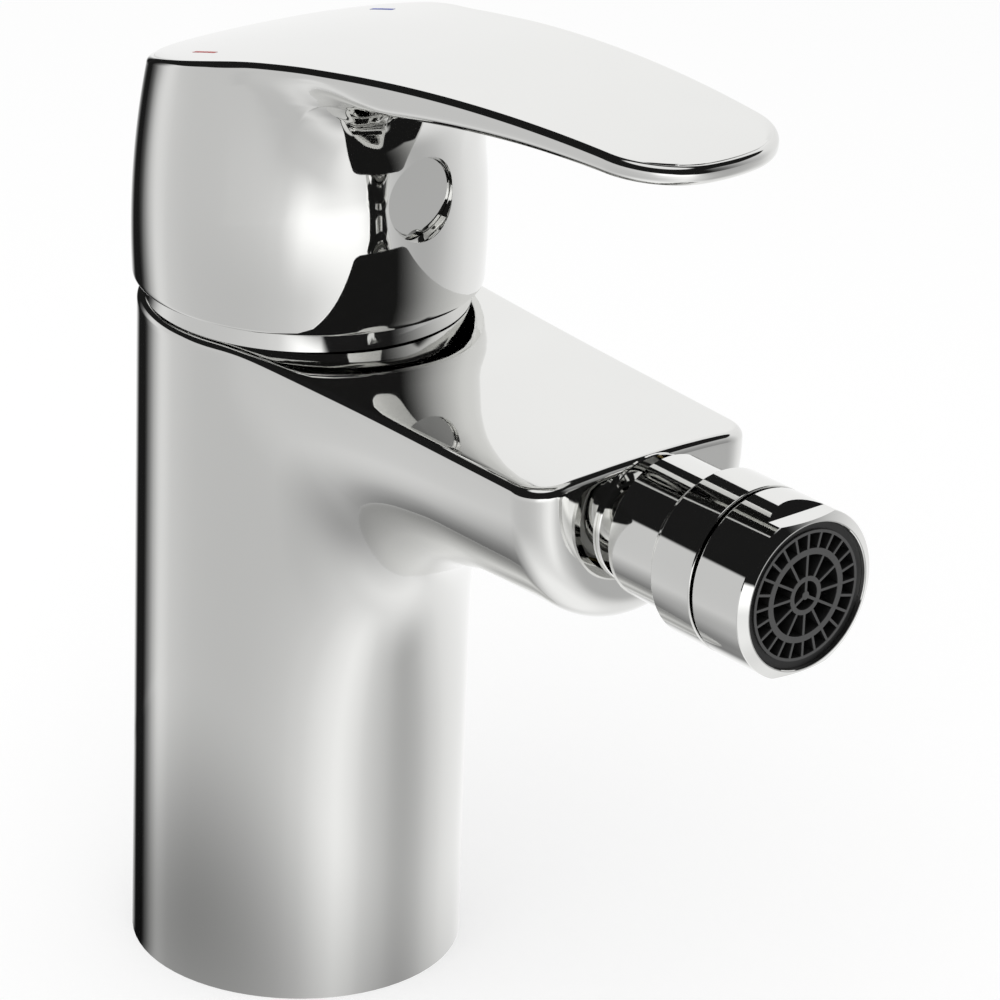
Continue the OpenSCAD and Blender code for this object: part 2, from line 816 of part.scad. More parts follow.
module aerator_insert() {
  color(black_plastic) {
    difference() {
      nozzle_rod(insert_r, insert_back, insert_front);
      nozzle_rod(insert_r - insert_wall, insert_back - 1, insert_front + 1);
    }
    along_nozzle(insert_front - web_l) linear_extrude(web_l) web_plan();
  }
}

module aerator_strainer() {
  r = step_r - seat_gap;
  color(steel)
    along_nozzle(insert_back - strainer_t)
      difference() {
        cylinder(r = r, h = strainer_t);
        for (row = [1:3])
          for (i = [0:6 * row - 1])
            rotate(60 * i / row) translate([r * row / 3.8, 0, -1]) cylinder(d = 1.3, h = strainer_t + 2);
      }
}

module aerator_washer() {
  color(rubber) along_nozzle(washer_x) ring(thread_r - 0.2, step_r, 0, washer_t);
}

body_casting();
base_gasket();
cartridge_base();
port_seals();
fixed_disc();
cartridge_housing();
cartridge_nut();
cover_ring();
ball_nipple();
nipple_seal();
rotor();
hinge_pin();
disc_carrier();
moving_disc();
lever_handle();
lever_stem();
stem_sleeve();
grub_screw();
screw_plug();
hot_mark();
cold_mark();
ball_seat();
swivel_socket();
socket_seal();
ball_retainer();
aerator_ring();
aerator_insert();
aerator_strainer();
aerator_washer();
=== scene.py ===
# %% [markdown]
# # A bidet mixer in Blender
# The object is a single lever bidet mixer: a chromed brass casting with a spout, a handle with a long
# lever on top, and a small nozzle that swivels on a ball. The CAD model is loaded first as a fixed
# frame. It already holds every piece and joint, so this lesson only adds what the eye needs: soft
# roundings, smooth blends, finishes, a floor, some light and a camera.

# %% Load the frame
import json
from math import asin, atan, atan2, cos, pi, radians, sin, sqrt, tan

import bmesh
import bpy
from mathutils import Matrix, Vector


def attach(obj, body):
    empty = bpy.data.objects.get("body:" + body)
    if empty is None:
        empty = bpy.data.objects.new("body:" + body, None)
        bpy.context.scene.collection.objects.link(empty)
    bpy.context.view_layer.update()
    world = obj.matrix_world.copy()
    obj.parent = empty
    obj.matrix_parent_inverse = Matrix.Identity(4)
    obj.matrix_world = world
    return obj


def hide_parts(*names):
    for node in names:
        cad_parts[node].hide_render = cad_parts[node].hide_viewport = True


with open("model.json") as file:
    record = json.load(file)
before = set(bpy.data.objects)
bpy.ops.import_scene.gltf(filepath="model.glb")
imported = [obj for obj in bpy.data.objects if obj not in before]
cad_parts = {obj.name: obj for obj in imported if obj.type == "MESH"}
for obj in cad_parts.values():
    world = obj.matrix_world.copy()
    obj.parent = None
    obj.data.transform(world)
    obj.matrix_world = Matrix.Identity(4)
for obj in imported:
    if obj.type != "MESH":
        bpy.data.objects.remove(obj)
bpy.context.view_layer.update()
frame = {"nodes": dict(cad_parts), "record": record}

MM = 0.001

# %% [markdown]
# ## Camera
# The photograph was taken with a long lens from in front of the mixer, to its left and a little
# above. A camera can be aimed with a constraint, but a fixed matrix is easier to keep: its columns
# are the right, up and backward directions of the view. The three angles and the distance were found
# by fitting the edges of the column, the spout and the lever.

# %% Camera
VIEW_TURN, VIEW_RISE, VIEW_ROLL = radians(48.773), radians(23.793), radians(2.010)
VIEW_DISTANCE = 850
FOCAL_PIXELS = 5723.516
SEEN_POINT = Vector((0, 0, 70))
SEEN_PIXEL = (303.958, 502.746)
PICTURE_PIXELS, SENSOR_MM = 1000, 36

backward = Vector((sin(VIEW_TURN) * cos(VIEW_RISE), -cos(VIEW_TURN) * cos(VIEW_RISE), sin(VIEW_RISE)))
level = Vector((cos(VIEW_TURN), sin(VIEW_TURN), 0))
upright = backward.cross(level)
right = level * cos(VIEW_ROLL) + upright * sin(VIEW_ROLL)
up = upright * cos(VIEW_ROLL) - level * sin(VIEW_ROLL)
across = (SEEN_PIXEL[0] - PICTURE_PIXELS / 2) / FOCAL_PIXELS * VIEW_DISTANCE
above = -(SEEN_PIXEL[1] - PICTURE_PIXELS / 2) / FOCAL_PIXELS * VIEW_DISTANCE
eye = SEEN_POINT - (right * across + up * above - backward * VIEW_DISTANCE)

camera = bpy.data.objects.new("camera", bpy.data.cameras.new("camera"))
camera.data.sensor_width = SENSOR_MM
camera.data.lens = FOCAL_PIXELS * SENSOR_MM / PICTURE_PIXELS
camera.data.clip_end = 50
turn = Matrix((right, up, backward)).transposed().to_4x4()
camera.matrix_world = Matrix.Translation(eye * MM) @ turn
bpy.context.scene.collection.objects.link(camera)
bpy.context.scene.camera = camera
print("camera at", [round(c) for c in eye], "mm, lens", round(camera.data.lens, 1), "mm")

# %% [markdown]
# ## Materials
# Chrome plating is nearly a perfect mirror, so its colour comes from what stands around it. It is
# still not a flat finish: polishing leaves a faint haze and very low waves. That effect is needed by
# every hard surface here, so it is one node group with a few inputs. Each material then sets its own
# colour, and the group varies the roughness and the height a little over the surface.

# %% Node group for a surface that varies a little
def surface_group():
    group = bpy.data.node_groups.new("worked_surface", "ShaderNodeTree")
    for name, kind, value in (
        ("Base", "NodeSocketColor", (0.8, 0.8, 0.8, 1)),
        ("Tint", "NodeSocketColor", (0.7, 0.7, 0.7, 1)),
        ("Patch Scale", "NodeSocketFloat", 60),
        ("Grain Scale", "NodeSocketFloat", 900),
        ("Smoothest", "NodeSocketFloat", 0.04),
        ("Roughest", "NodeSocketFloat", 0.08),
    ):
        group.interface.new_socket(name, in_out="INPUT", socket_type=kind).default_value = value
    for name, kind in (("Color", "NodeSocketColor"), ("Roughness", "NodeSocketFloat"),
                       ("Height", "NodeSocketFloat")):
        group.interface.new_socket(name, in_out="OUTPUT", socket_type=kind)
    new, link = group.nodes.new, group.links.new
    given, result = new("NodeGroupInput"), new("NodeGroupOutput")
    place = new("ShaderNodeTexCoord")
    patches, grain = new("ShaderNodeTexNoise"), new("ShaderNodeTexNoise")
    patches.inputs["Detail"].default_value = 3
    grain.inputs["Detail"].default_value = 2
    link(place.outputs["Object"], patches.inputs["Vector"])
    link(place.outputs["Object"], grain.inputs["Vector"])
    link(given.outputs["Patch Scale"], patches.inputs["Scale"])
    link(given.outputs["Grain Scale"], grain.inputs["Scale"])
    tone = new("ShaderNodeMix")
    tone.data_type = "RGBA"
    link(patches.outputs["Fac"], tone.inputs["Factor"])
    link(given.outputs["Base"], tone.inputs["A"])
    link(given.outputs["Tint"], tone.inputs["B"])
    haze = new("ShaderNodeMapRange")
    haze.inputs["From Min"].default_value = 0.3
    haze.inputs["From Max"].default_value = 0.7
    link(patches.outputs["Fac"], haze.inputs["Value"])
    link(given.outputs["Smoothest"], haze.inputs["To Min"])
    link(given.outputs["Roughest"], haze.inputs["To Max"])
    link(tone.outputs["Result"], result.inputs["Color"])
    link(haze.outputs["Result"], result.inputs["Roughness"])
    link(grain.outputs["Fac"], result.inputs["Height"])
    return group


worked_surface = surface_group()
print("node group", worked_surface.name, "with", len(worked_surface.nodes), "nodes")

# %% [markdown]
# The materials of the record come next: chrome outside, brass, steel, rubber, ceramic and plastics
# inside. They differ in colour, in metalness and in how far the haze and the grain go.

# %% Materials
def finish(name, base, tint, metallic, smooth, rough, grain_scale, grain_depth, patch_scale=60):
    material = bpy.data.materials.new(name)
    material.use_nodes = True
    nodes, link = material.node_tree.nodes, material.node_tree.links.new
    shader = nodes["Principled BSDF"]
    shader.inputs["Metallic"].default_value = metallic
    work = nodes.new("ShaderNodeGroup")
    work.node_tree = worked_surface
    work.inputs["Base"].default_value = (*base, 1)
    work.inputs["Tint"].default_value = (*tint, 1)
    work.inputs["Patch Scale"].default_value = patch_scale
    work.inputs["Grain Scale"].default_value = grain_scale
    work.inputs["Smoothest"].default_value = smooth
    work.inputs["Roughest"].default_value = rough
    bump = nodes.new("ShaderNodeBump")
    bump.inputs["Distance"].default_value = grain_depth
    link(work.outputs["Color"], shader.inputs["Base Color"])
    link(work.outputs["Roughness"], shader.inputs["Roughness"])
    link(work.outputs["Height"], bump.inputs["Height"])
    link(bump.outputs["Normal"], shader.inputs["Normal"])
    return material


FINISH_ROWS = (
    ("chrome", (0.80, 0.80, 0.785), (0.78, 0.78, 0.765), 1, 0.02, 0.05, 140, 0.000002),
    ("brass", (0.78, 0.60, 0.28), (0.66, 0.48, 0.20), 1, 0.18, 0.32, 900, 0.00001, 150),
    ("steel", (0.60, 0.61, 0.62), (0.52, 0.53, 0.54), 1, 0.20, 0.34, 900, 0.00001, 150),
    ("rubber", (0.018, 0.018, 0.018), (0.03, 0.03, 0.03), 0, 0.55, 0.75, 1500, 0.00002, 200),
    ("white_plastic", (0.78, 0.78, 0.75), (0.72, 0.72, 0.69), 0, 0.30, 0.42, 1500, 0.00001),
    ("grey_plastic", (0.17, 0.17, 0.175), (0.14, 0.14, 0.145), 0, 0.34, 0.46, 1500, 0.00001),
    ("black_plastic", (0.012, 0.012, 0.013), (0.02, 0.02, 0.02), 0, 0.30, 0.42, 1500, 0.00001),
    ("ceramic", (0.84, 0.82, 0.76), (0.79, 0.77, 0.71), 0, 0.10, 0.18, 1200, 0.000004),
    ("red_mark", (0.60, 0.02, 0.02), (0.50, 0.015, 0.015), 0, 0.30, 0.42, 1500, 0.00001, 400),
    ("blue_mark", (0.02, 0.06, 0.55), (0.015, 0.05, 0.45), 0, 0.30, 0.42, 1500, 0.00001, 400),
)
FINISHES = {row[0]: finish(*row) for row in FINISH_ROWS}
print(len(FINISHES), "materials:", ", ".join(FINISHES))

# %% [markdown]
# ## Helpers for pieces
# All pieces are worked out in millimetres and scaled to metres at the end. `piece` merges what
# touches, turns the faces outward, shades the mesh smooth with sharp edges where the surface really
# breaks, parents the piece to an empty named after the body that carries it, and hides the CAD nodes
# it stands for.

# %% Helper that finishes a piece
WELD = 0.0005


def piece(name, bm, finish_name, body, *nodes, sharp=40, slot=None):
    bmesh.ops.remove_doubles(bm, verts=bm.verts[:], dist=WELD)
    bmesh.ops.dissolve_degenerate(bm, dist=WELD, edges=bm.edges[:])
    bmesh.ops.recalc_face_normals(bm, faces=bm.faces[:])
    bmesh.ops.scale(bm, vec=(MM, MM, MM), verts=bm.verts[:])
    for face in bm.faces:
        face.smooth = True
    mesh = bpy.data.meshes.new(name)
    bm.to_mesh(mesh)
    bm.free()
    mesh.set_sharp_from_angle(angle=radians(sharp))
    mesh.materials.append(FINISHES[finish_name])
    thing = bpy.data.objects.new(name, mesh)
    bpy.context.scene.collection.objects.link(thing)
    normals = thing.modifiers.new("weighted_normals", "WEIGHTED_NORMAL")
    normals.keep_sharp = True
    normals.weight = 80
    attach(thing, body)
    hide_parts(*nodes)
    print(name, len(mesh.vertices), "corners,", len(mesh.polygons), "faces, for", ", ".join(nodes))
    return thing


# %% [markdown]
# Two ways of making a shape are used again and again. A turned piece is a profile that is spun a
# full turn. A wrapped piece is a flat grid from `create_grid` whose corners are moved onto a surface
# that is known by a formula, which keeps the rows of faces in the order of the real shape.

# %% Helpers for turned and wrapped shapes
AROUND_Z = (Vector((0, 0, 0)), Vector((0, 0, 1)))


def turned(bm, profile, axis_point, axis, steps=96, closed=True):
    """Spins a profile of (distance along the axis, radius) points about an axis."""
    side = axis.orthogonal().normalized()
    corners = [bm.verts.new(axis_point + axis * along + side * radius) for along, radius in profile]
    pairs = list(zip(corners, corners[1:])) + ([(corners[-1], corners[0])] if closed else [])
    edges = [bm.edges.new(pair) for pair in pairs]
    bmesh.ops.spin(bm, geom=corners + edges, cent=axis_point, axis=axis, dvec=(0, 0, 0),
                   angle=2 * pi, steps=steps, use_merge=True, use_duplicate=False)


def wrapped(bm, rows, columns, place):
    """A grid of rows x columns cells, with each corner moved to place(row, column)."""
    made = bmesh.ops.create_grid(bm, x_segments=columns, y_segments=rows, size=0.5)
    for corner in made["verts"]:
        row, column = round((corner.co.y + 0.5) * rows), round((corner.co.x + 0.5) * columns)
        corner.co = place(row, column)


def mix(a, b, t):
    return a + (b - a) * t


print("helpers ready")

# %% [markdown]
# ## Casting
# The casting is one round column and a spout, poured together, and the two melt into each other
# under the spout. Two cylinders and a bevel would leave seams in the mirror, so the whole skin is one
# grid. Its rows start at the end of the spout, run along its U shaped underside, turn down in the
# hollow, and spread over the column to its foot and its back. Every row is a closed ring: under the
# spout, up its side, round the top edge and across the top, which is a little crowned.

# %% Sizes of the casting
COLUMN_R, BODY_TOP = 25.0, 104.0
SPOUT_END, SPOUT_ROUND = 75.0, 5.5
SPOUT_R, SPOUT_AXIS, SPOUT_TAPER = 22.2, 100.7, 1.8
HOLLOW_R, TOP_ROUND = 25.0, 1.3
FALL_SLOPE, BEND_START, BEND_END = 1.6 / 60, 8, 22
CROWN, CROWN_START, CROWN_FULL = 1.2, 24, 38


def smooth_share(value, low, high):
    """Rises softly from 0 to 1 while the value goes from low to high."""
    t = min(max((value - low) / (high - low), 0), 1)
    return t * t * (3 - 2 * t)


def spout_half(x):
    """Half the width of the spout, which narrows a little towards its end."""
    return SPOUT_R - SPOUT_TAPER * max(x, 0) / SPOUT_END


def casting_top(x, y):
    """Height of the top: level under the handle, then falling and a little crowned."""
    if x < BEND_START:
        return BODY_TOP
    share = (y / spout_half(x)) ** 2
    arch = max(1 - 0.65 * share - 0.35 * share ** 2, 0)
    crown = CROWN * smooth_share(sqrt(x * x + y * y), CROWN_START, CROWN_FULL) * arch
    if x < BEND_END:
        return BODY_TOP - FALL_SLOPE * (x - BEND_START) ** 2 / (2 * (BEND_END - BEND_START)) + crown
    return BODY_TOP - FALL_SLOPE * (x - (BEND_START + BEND_END) / 2) + crown


print("column", 2 * COLUMN_R, "mm wide, spout", 2 * SPOUT_R, "mm wide at the root")

# %% [markdown]
# The hollow is the hard part. A ball rolled into the corner gives a round fillet, but a mirror shows
# a line where the fillet starts, because the bend changes there at once. The real casting was ground
# and polished by hand and has no such line. So the column and the spout are each described by how far
# a point lies outside them, and the two distances are mixed with a smooth minimum. Where the surfaces
# nearly agree, on the sides, the mix is kept narrow. Each corner of the grid then slides onto it.

# %% Column and spout melted together
MELT, LEAST_MELT = 48, 0.01
FADE_START, FADE_END = 45, 69


def melted(first, second, reach):
    """The smaller of two distances, with a soft change from one to the other."""
    near = max(reach - abs(first - second), 0) / reach
    return min(first, second) - near ** 3 * reach / 6


def outside(point):
    """How far a point lies outside the melted column and spout."""
    half = spout_half(point.x)
    low = min(point.z - SPOUT_AXIS, 0) / SPOUT_R
    from_axis = sqrt(point.x ** 2 + point.y ** 2)
    share = sqrt((point.y / half) ** 2 + low ** 2)
    out_spout = Vector((0, point.y / half, low)).normalized()
    agree = out_spout.y * point.y / from_axis
    reach = MELT * max(1 - agree, LEAST_MELT) * (1 - 0.5 * smooth_share(point.x, FADE_START, FADE_END))
    return melted(from_axis - COLUMN_R, (share - 1) * SPOUT_R, reach)


print("hollow reaches", MELT, "mm from the corner")

# %% [markdown]
# To slide a corner onto such a surface, its distance is measured a hair to each side. That gives the
# slope, which points straight out, and the corner moves back along it. A shrinkwrap modifier does the
# same with a mesh as its target, but here the target is only a formula.

# %% Sliding onto a melted surface
PROBE = 0.02


def slope_of(distance, point, flat=False):
    """Slope of a distance at a point, on request only as seen from above."""
    steps = [Vector((PROBE, 0, 0)), Vector((0, PROBE, 0)), Vector((0, 0, 0 if flat else PROBE))]
    return Vector([(distance(point + s) - distance(point - s)) / (2 * PROBE) for s in steps])


def slide_onto(distance, point, rounds=8):
    for _ in range(rounds):
        slope = slope_of(distance, point)
        point = point - slope * (distance(point) / slope.length_squared)
    return point


slid = slide_onto(outside, Vector((35, 0, 70)))
print("a corner at 35, 0, 70 slides to", [round(c, 1) for c in slid])

# %% [markdown]
# The grid needs a first place for each corner before it slides. A ball of 25 mm that rolls along the
# corner gives one: rows before it lie on the spout, rows after it on the column.

# %% Rows and stations of the casting
UNDER, FOOT = 60, 36
ROOT_X = 20
UNDER_STATIONS = [("under", i / UNDER) for i in range(UNDER + 1)]
WALL_STATIONS = [("wall", f) for f in (0.5, 1.0)]
EDGE_STATIONS = [("edge", radians(a)) for a in (15, 30, 45, 60, 75, 90)]
TOP_FRACTIONS = (0.03, 0.12, 0.3, 0.55, 0.8, 1.0)
TOP_STATIONS = [("top", f) for f in TOP_FRACTIONS]
STATIONS = UNDER_STATIONS + WALL_STATIONS + EDGE_STATIONS + TOP_STATIONS
ROWS = (
    [("round", radians(a)) for a in range(90, -1, -9)]
    + [("side", i / 20) for i in range(1, 20)]
    + [("hollow", i / 20) for i in range(21)]
    + [("column", i / 44) for i in range(1, 45)]
)


def hollow_ball(turn_up):
    """Centre of the ball that rolls in the hollow, and the direction from the spout towards it."""
    half = spout_half(ROOT_X)
    out = Vector((0, SPOUT_R * sin(turn_up), -half * cos(turn_up))).normalized()
    y = half * sin(turn_up) + HOLLOW_R * out.y
    z = SPOUT_AXIS - SPOUT_R * cos(turn_up) + HOLLOW_R * out.z
    return Vector((sqrt((COLUMN_R + HOLLOW_R) ** 2 - y * y), y, z)), out


def under_point(kind, t, share):
    turn_up = share * pi / 2
    ball, out = hollow_ball(turn_up)
    inward = Vector((ball.x, ball.y, 0)).normalized()
    if kind == "round":
        x = SPOUT_END - SPOUT_ROUND * (1 - sin(t))
        cut = SPOUT_ROUND * (1 - cos(t))
        half = spout_half(SPOUT_END - SPOUT_ROUND) - cut
        return Vector((x, half * sin(turn_up), SPOUT_AXIS - (SPOUT_R - cut) * cos(turn_up)))
    if kind == "side":
        x = mix(SPOUT_END - SPOUT_ROUND, ball.x, t)
        first = Vector((x, spout_half(x) * sin(turn_up), SPOUT_AXIS - SPOUT_R * cos(turn_up)))
        return slide_onto(outside, first)
    if kind == "hollow":
        return slide_onto(outside, ball - out.slerp(inward, t) * HOLLOW_R)
    low = share * UNDER / FOOT
    goal = (low * pi, 0) if low <= 1 else (pi, SPOUT_AXIS * (share * UNDER - FOOT) / (UNDER - FOOT))
    angle = mix(atan2(inward.y, inward.x), goal[0], t)
    point = Vector((COLUMN_R * cos(angle), COLUMN_R * sin(angle), mix(ball.z, goal[1], t)))
    return slide_onto(outside, point) if point.x > 0 else point


print("rows", len(ROWS), "stations", len(STATIONS))

# %% [markdown]
# The upper part of each ring follows the outline seen from above: straight up the wall, round the
# edge and over the top to the middle. The other half is its mirror image.

# %% Corners of the casting
def plan_of(kind, t):
    """Point and outward direction of the casting's outline seen from above."""
    if kind == "round":
        half = spout_half(SPOUT_END - SPOUT_ROUND)
        out = Vector((sin(t), cos(t)))
        return Vector((SPOUT_END - SPOUT_ROUND, half - SPOUT_ROUND)) + out * SPOUT_ROUND, out
    point = under_point(kind, t, 1)
    slope = slope_of(outside, point, flat=True) if point.x > 0 else point
    return point.to_2d(), slope.to_2d().normalized()


def casting_point(row, station):
    (kind, t), (part, s) = ROWS[row], STATIONS[station]
    if part == "under":
        return under_point(kind, t, s)
    point, out = plan_of(kind, t)
    if part == "wall":
        return Vector((*point, mix(SPOUT_AXIS, casting_top(*point) - TOP_ROUND, s)))
    if part == "edge":
        rim = point - out * TOP_ROUND * (1 - cos(s))
        return Vector((*rim, casting_top(*rim) - TOP_ROUND * (1 - sin(s))))
    rim = point - out * TOP_ROUND
    y = rim.y * (1 - s)
    return Vector((rim.x, y, casting_top(rim.x, y)))


def both_sides(place, half):
    """Runs a half ring on to its mirror image."""
    def ring(row, column):
        if column <= half:
            return place(row, column)
        point = place(row, 2 * half - column)
        return Vector((point.x, -point.y, point.z))
    return ring


def end_face(row, column):
    """The flat end of the spout: from its edge straight across to the middle."""
    edge = casting_point(0, row)
    y = edge.y * (1 - (0, *TOP_FRACTIONS)[column])
    part, s = STATIONS[row]
    lift = {"under": 0, "wall": s}.get(part, 1)
    return Vector((edge.x, y, edge.z + lift * (casting_top(edge.x, y) - casting_top(edge.x, edge.y))))


print("end of the spout", [round(c, 1) for c in casting_point(0, 0)])

# %% [markdown]
# Two grids make the skin, one for the rings and one for the end of the spout. Their corners meet and
# are merged, and the open ring at the foot is closed with one face.

# %% Skin of the casting
casting = bmesh.new()
last = len(STATIONS) - 1
wrapped(casting, len(ROWS) - 1, 2 * last, both_sides(casting_point, last))
half_top = len(TOP_STATIONS)
wrapped(casting, last - half_top, 2 * half_top, both_sides(end_face, half_top))
bmesh.ops.remove_doubles(casting, verts=casting.verts[:], dist=0.001)
bmesh.ops.dissolve_degenerate(casting, dist=0.001, edges=casting.edges[:])
foot = [e for e in casting.edges if e.is_boundary]
bmesh.ops.holes_fill(casting, edges=foot)
print("casting skin:", len(casting.faces), "faces,", len(foot), "edges round the foot,",
      sum(not e.is_manifold for e in casting.edges), "open edges")

# %% [markdown]
# Several pieces have holes or flats. Such a cut could be built into the mesh face by face, but a Boolean
# modifier takes a bar or a block out of any skin in one step. It is applied at once, so that no cutter
# stays in the scene.

# %% Helpers that cut
def rod(bm, radius, start, end, end_radius=None, steps=96):
    """A round bar or a cone between two points, used to cut holes."""
    line = Vector(end) - Vector(start)
    middle = Matrix.Translation((Vector(start) + Vector(end)) / 2)
    place = middle @ line.to_track_quat("Z", "Y").to_matrix().to_4x4()
    bmesh.ops.create_cone(bm, cap_ends=True, segments=steps, radius1=radius, radius2=end_radius or radius,
                          depth=line.length, matrix=place)


def block(bm, low, high):
    """A plain box between two corners, used to cut flats."""
    low, high = Vector(low), Vector(high)
    place = Matrix.Translation((low + high) / 2) @ Matrix.Diagonal((*(high - low), 1))
    bmesh.ops.create_cube(bm, size=1, matrix=place)


def cut_away(bm, bars=(), tool=None):
    """Takes round bars, or a given shape, out of a bmesh with a Boolean modifier."""
    holder = [bpy.data.objects.new(n, bpy.data.meshes.new(n)) for n in ("cut_body", "cut_tool")]
    tool = tool or bmesh.new()
    for bar in bars:
        rod(tool, *bar)
    bmesh.ops.recalc_face_normals(bm, faces=bm.faces[:])
    bmesh.ops.recalc_face_normals(tool, faces=tool.faces[:])
    bm.to_mesh(holder[0].data)
    tool.to_mesh(holder[1].data)
    tool.free()
    for thing in holder:
        bpy.context.scene.collection.objects.link(thing)
    boolean = holder[0].modifiers.new("hollow", "BOOLEAN")
    boolean.operation, boolean.solver, boolean.object = "DIFFERENCE", "EXACT", holder[1]
    boolean.use_self = True
    bpy.context.view_layer.update()
    graph = bpy.context.evaluated_depsgraph_get()
    bm.clear()
    bm.from_mesh(holder[0].evaluated_get(graph).to_mesh())
    for thing in holder:
        mesh = thing.data
        bpy.data.objects.remove(thing)
        bpy.data.meshes.remove(mesh)


print("cutters ready: bars, cones and blocks")

# %% [markdown]
# The real casting is hollow: a bore for the hoses with three threads in its roof, a chamber for the
# cartridge and a threaded hole for the nozzle. All of them are round, so seven bars are enough.

# %% Hollows of the casting
NOZZLE_Z = 94.6
cut_away(casting, [
    (20.5, (0, 0, -1), (0, 0, 40)),  # bore for the hoses
    (4.5, (-2, 9, 39), (-2, 9, 51)),  # one inlet
    (4.5, (-2, -9, 39), (-2, -9, 51)),  # the other inlet
    (3.4, (-13, 0, 39), (-13, 0, 52)),  # fixing stud
    (18.0, (0, 0, 58), (0, 0, 120)),  # chamber for the cartridge
    (20.0, (0, 0, 87.05), (0, 0, 120)),  # wider part for its nut
    (6.6, (62, 0, NOZZLE_Z), (80, 0, NOZZLE_Z)),  # nipple
])
piece("casting", casting, "chrome", "body", "body_casting")

# %% [markdown]
# ## Handle
# The handle is a barrel that swells a little, with a long arched lever in front. Seen from above it
# is cut like a cake: in every direction the slice starts inside, comes down to the lip under the
# skirt, climbs the barrel, turns out under the lever in a wide cove, goes round the edge and comes
# back over the top to the middle. Behind, where no lever stands out, the slice is plain. Blocks and
# bevels could not give the cove, which runs out to nothing on both sides of the lever.

# %% Sizes of the handle
BARREL_R, SWELL_R, WIDEST_Z = 25.95, 138, 115
LEVER_PEAK, ARCH_R, ARCH_X = 152.3, 277, 67.5
UNDER_PEAK, UNDER_R, UNDER_X = 148.8, 215, 75
TIP_X, TIP_R, TIP_CORNER = 89.5, 27, 12
ROOT_HALF, TIP_HALF = 22.2, 13.2
TAPER = atan((ROOT_HALF - TIP_HALF) / TIP_X)
EDGE_TOP, EDGE_LOW, COVE_R = 1.1, 2.1, 19.0
WALL, ROOF = 2.6, 4.0


def barrel_at(z):
    """Radius of the barrel at a height."""
    return BARREL_R - (SWELL_R - sqrt(SWELL_R ** 2 - (z - WIDEST_Z) ** 2))


def lever_top(x, thickness=0):
    """Height of the arched top, or of a layer that lies below it."""
    return LEVER_PEAK - ARCH_R + sqrt((ARCH_R - thickness) ** 2 - (x - ARCH_X) ** 2)


def lever_under(x):
    """Height of the underside of the lever."""
    return UNDER_PEAK - (UNDER_R - sqrt(UNDER_R ** 2 - (x - UNDER_X) ** 2))


print("barrel", round(2 * barrel_at(WIDEST_Z), 1), "mm wide, lever", TIP_X, "mm from the axis to its tip")

# %% [markdown]
# Seen from above, the lever has straight sides that come closer towards a blunt tip with round
# corners. A curve could be drawn by eye, but lines and arcs with known radii are easier to change: the
# circle of the corner is moved until it touches both the side and the arc of the tip. The outline is
# kept as directions and distances from the axis, because that is how the slices ask for it.

# %% Outline of the lever from above
def lever_outline():
    """Points of the lever's plan from the middle of its tip along one side to the axis."""
    middle, corner = TIP_X - TIP_R, Vector((TIP_X, 0))
    for _ in range(30):
        corner.y = ROOT_HALF - tan(TAPER) * corner.x - TIP_CORNER / cos(TAPER)
        corner.x = middle + sqrt((TIP_R - TIP_CORNER) ** 2 - corner.y ** 2)
    meet = atan2(corner.y, corner.x - middle)
    points = [Vector((middle + TIP_R * cos(meet * i / 40), TIP_R * sin(meet * i / 40))) for i in range(40)]
    for i in range(61):
        angle = mix(meet, pi / 2 - TAPER, i / 60)
        points.append(corner + TIP_CORNER * Vector((cos(angle), sin(angle))))
    start = points[-1]
    points += [start.lerp(Vector((0, ROOT_HALF)), i / 400) for i in range(1, 401)]
    return points


OUTLINE = [(atan2(p.y, p.x), p.length) for p in lever_outline()]


def lever_radius(angle):
    """Distance from the axis to the lever's outline in a direction, or nothing behind the axis."""
    for (a0, r0), (a1, r1) in zip(OUTLINE, OUTLINE[1:]):
        if a0 <= angle <= a1:
            return mix(r0, r1, (angle - a0) / (a1 - a0))
    return 0.0


print("points in the outline:", len(OUTLINE))

# %% [markdown]
# Barrel and lever melt into each other like column and spout do: a wide cove under the lever, and
# hardly any change at its sides, where the two nearly agree. The lower edge of the lever is crisp far
# out and grows rounder towards the root, until it is lost in the barrel.

# %% Barrel and lever melted together
COVE, LEAST_COVE = 22, 0.12
ROOT_EDGE, EDGE_START, EDGE_END = 7, 21, 39
BACK_CLOSING = 0.05


def edge_round(x):
    """Radius of the lower edge of the lever."""
    return mix(ROOT_EDGE, EDGE_LOW, smooth_share(x, EDGE_START, EDGE_END))


def outside_handle(point):
    """How far a point lies outside the melted barrel and lever, seen from the side or from below."""
    from_axis = sqrt(point.x ** 2 + point.y ** 2)
    beside = (abs(point.y) - ROOT_HALF + tan(TAPER) * point.x) * cos(TAPER)
    beside += BACK_CLOSING * max(-point.x, 0) ** 2
    below, edge = lever_under(point.x) - point.z, edge_round(point.x)
    from_lever, sideways = max(beside, below), float(beside > below)
    if beside > -edge and below > -edge:
        corner = sqrt((beside + edge) ** 2 + (below + edge) ** 2)
        from_lever, sideways = corner - edge, (beside + edge) / corner
    agree = sideways * (abs(point.y) * cos(TAPER) + point.x * sin(TAPER)) / from_axis
    return melted(from_axis - barrel_at(point.z), from_lever, COVE * max(1 - agree, LEAST_COVE))


print("a point 10 mm in front of the barrel is", round(outside_handle(Vector((36, 0, 120))), 2), "mm outside")

# %% [markdown]
# The upper edge runs along the lever's outline in front and along the barrel behind. Where the two
# come close, the edge has to follow the melted surface, so its distance from the axis is found there
# by trying and correcting. Taking simply the wider of the two would leave a kink in the black line
# that the edge draws.

# %% Upper edge of the handle
BACK_TURN = 2
LEVER_NEAR, LEVER_CLEAR = 4, 12


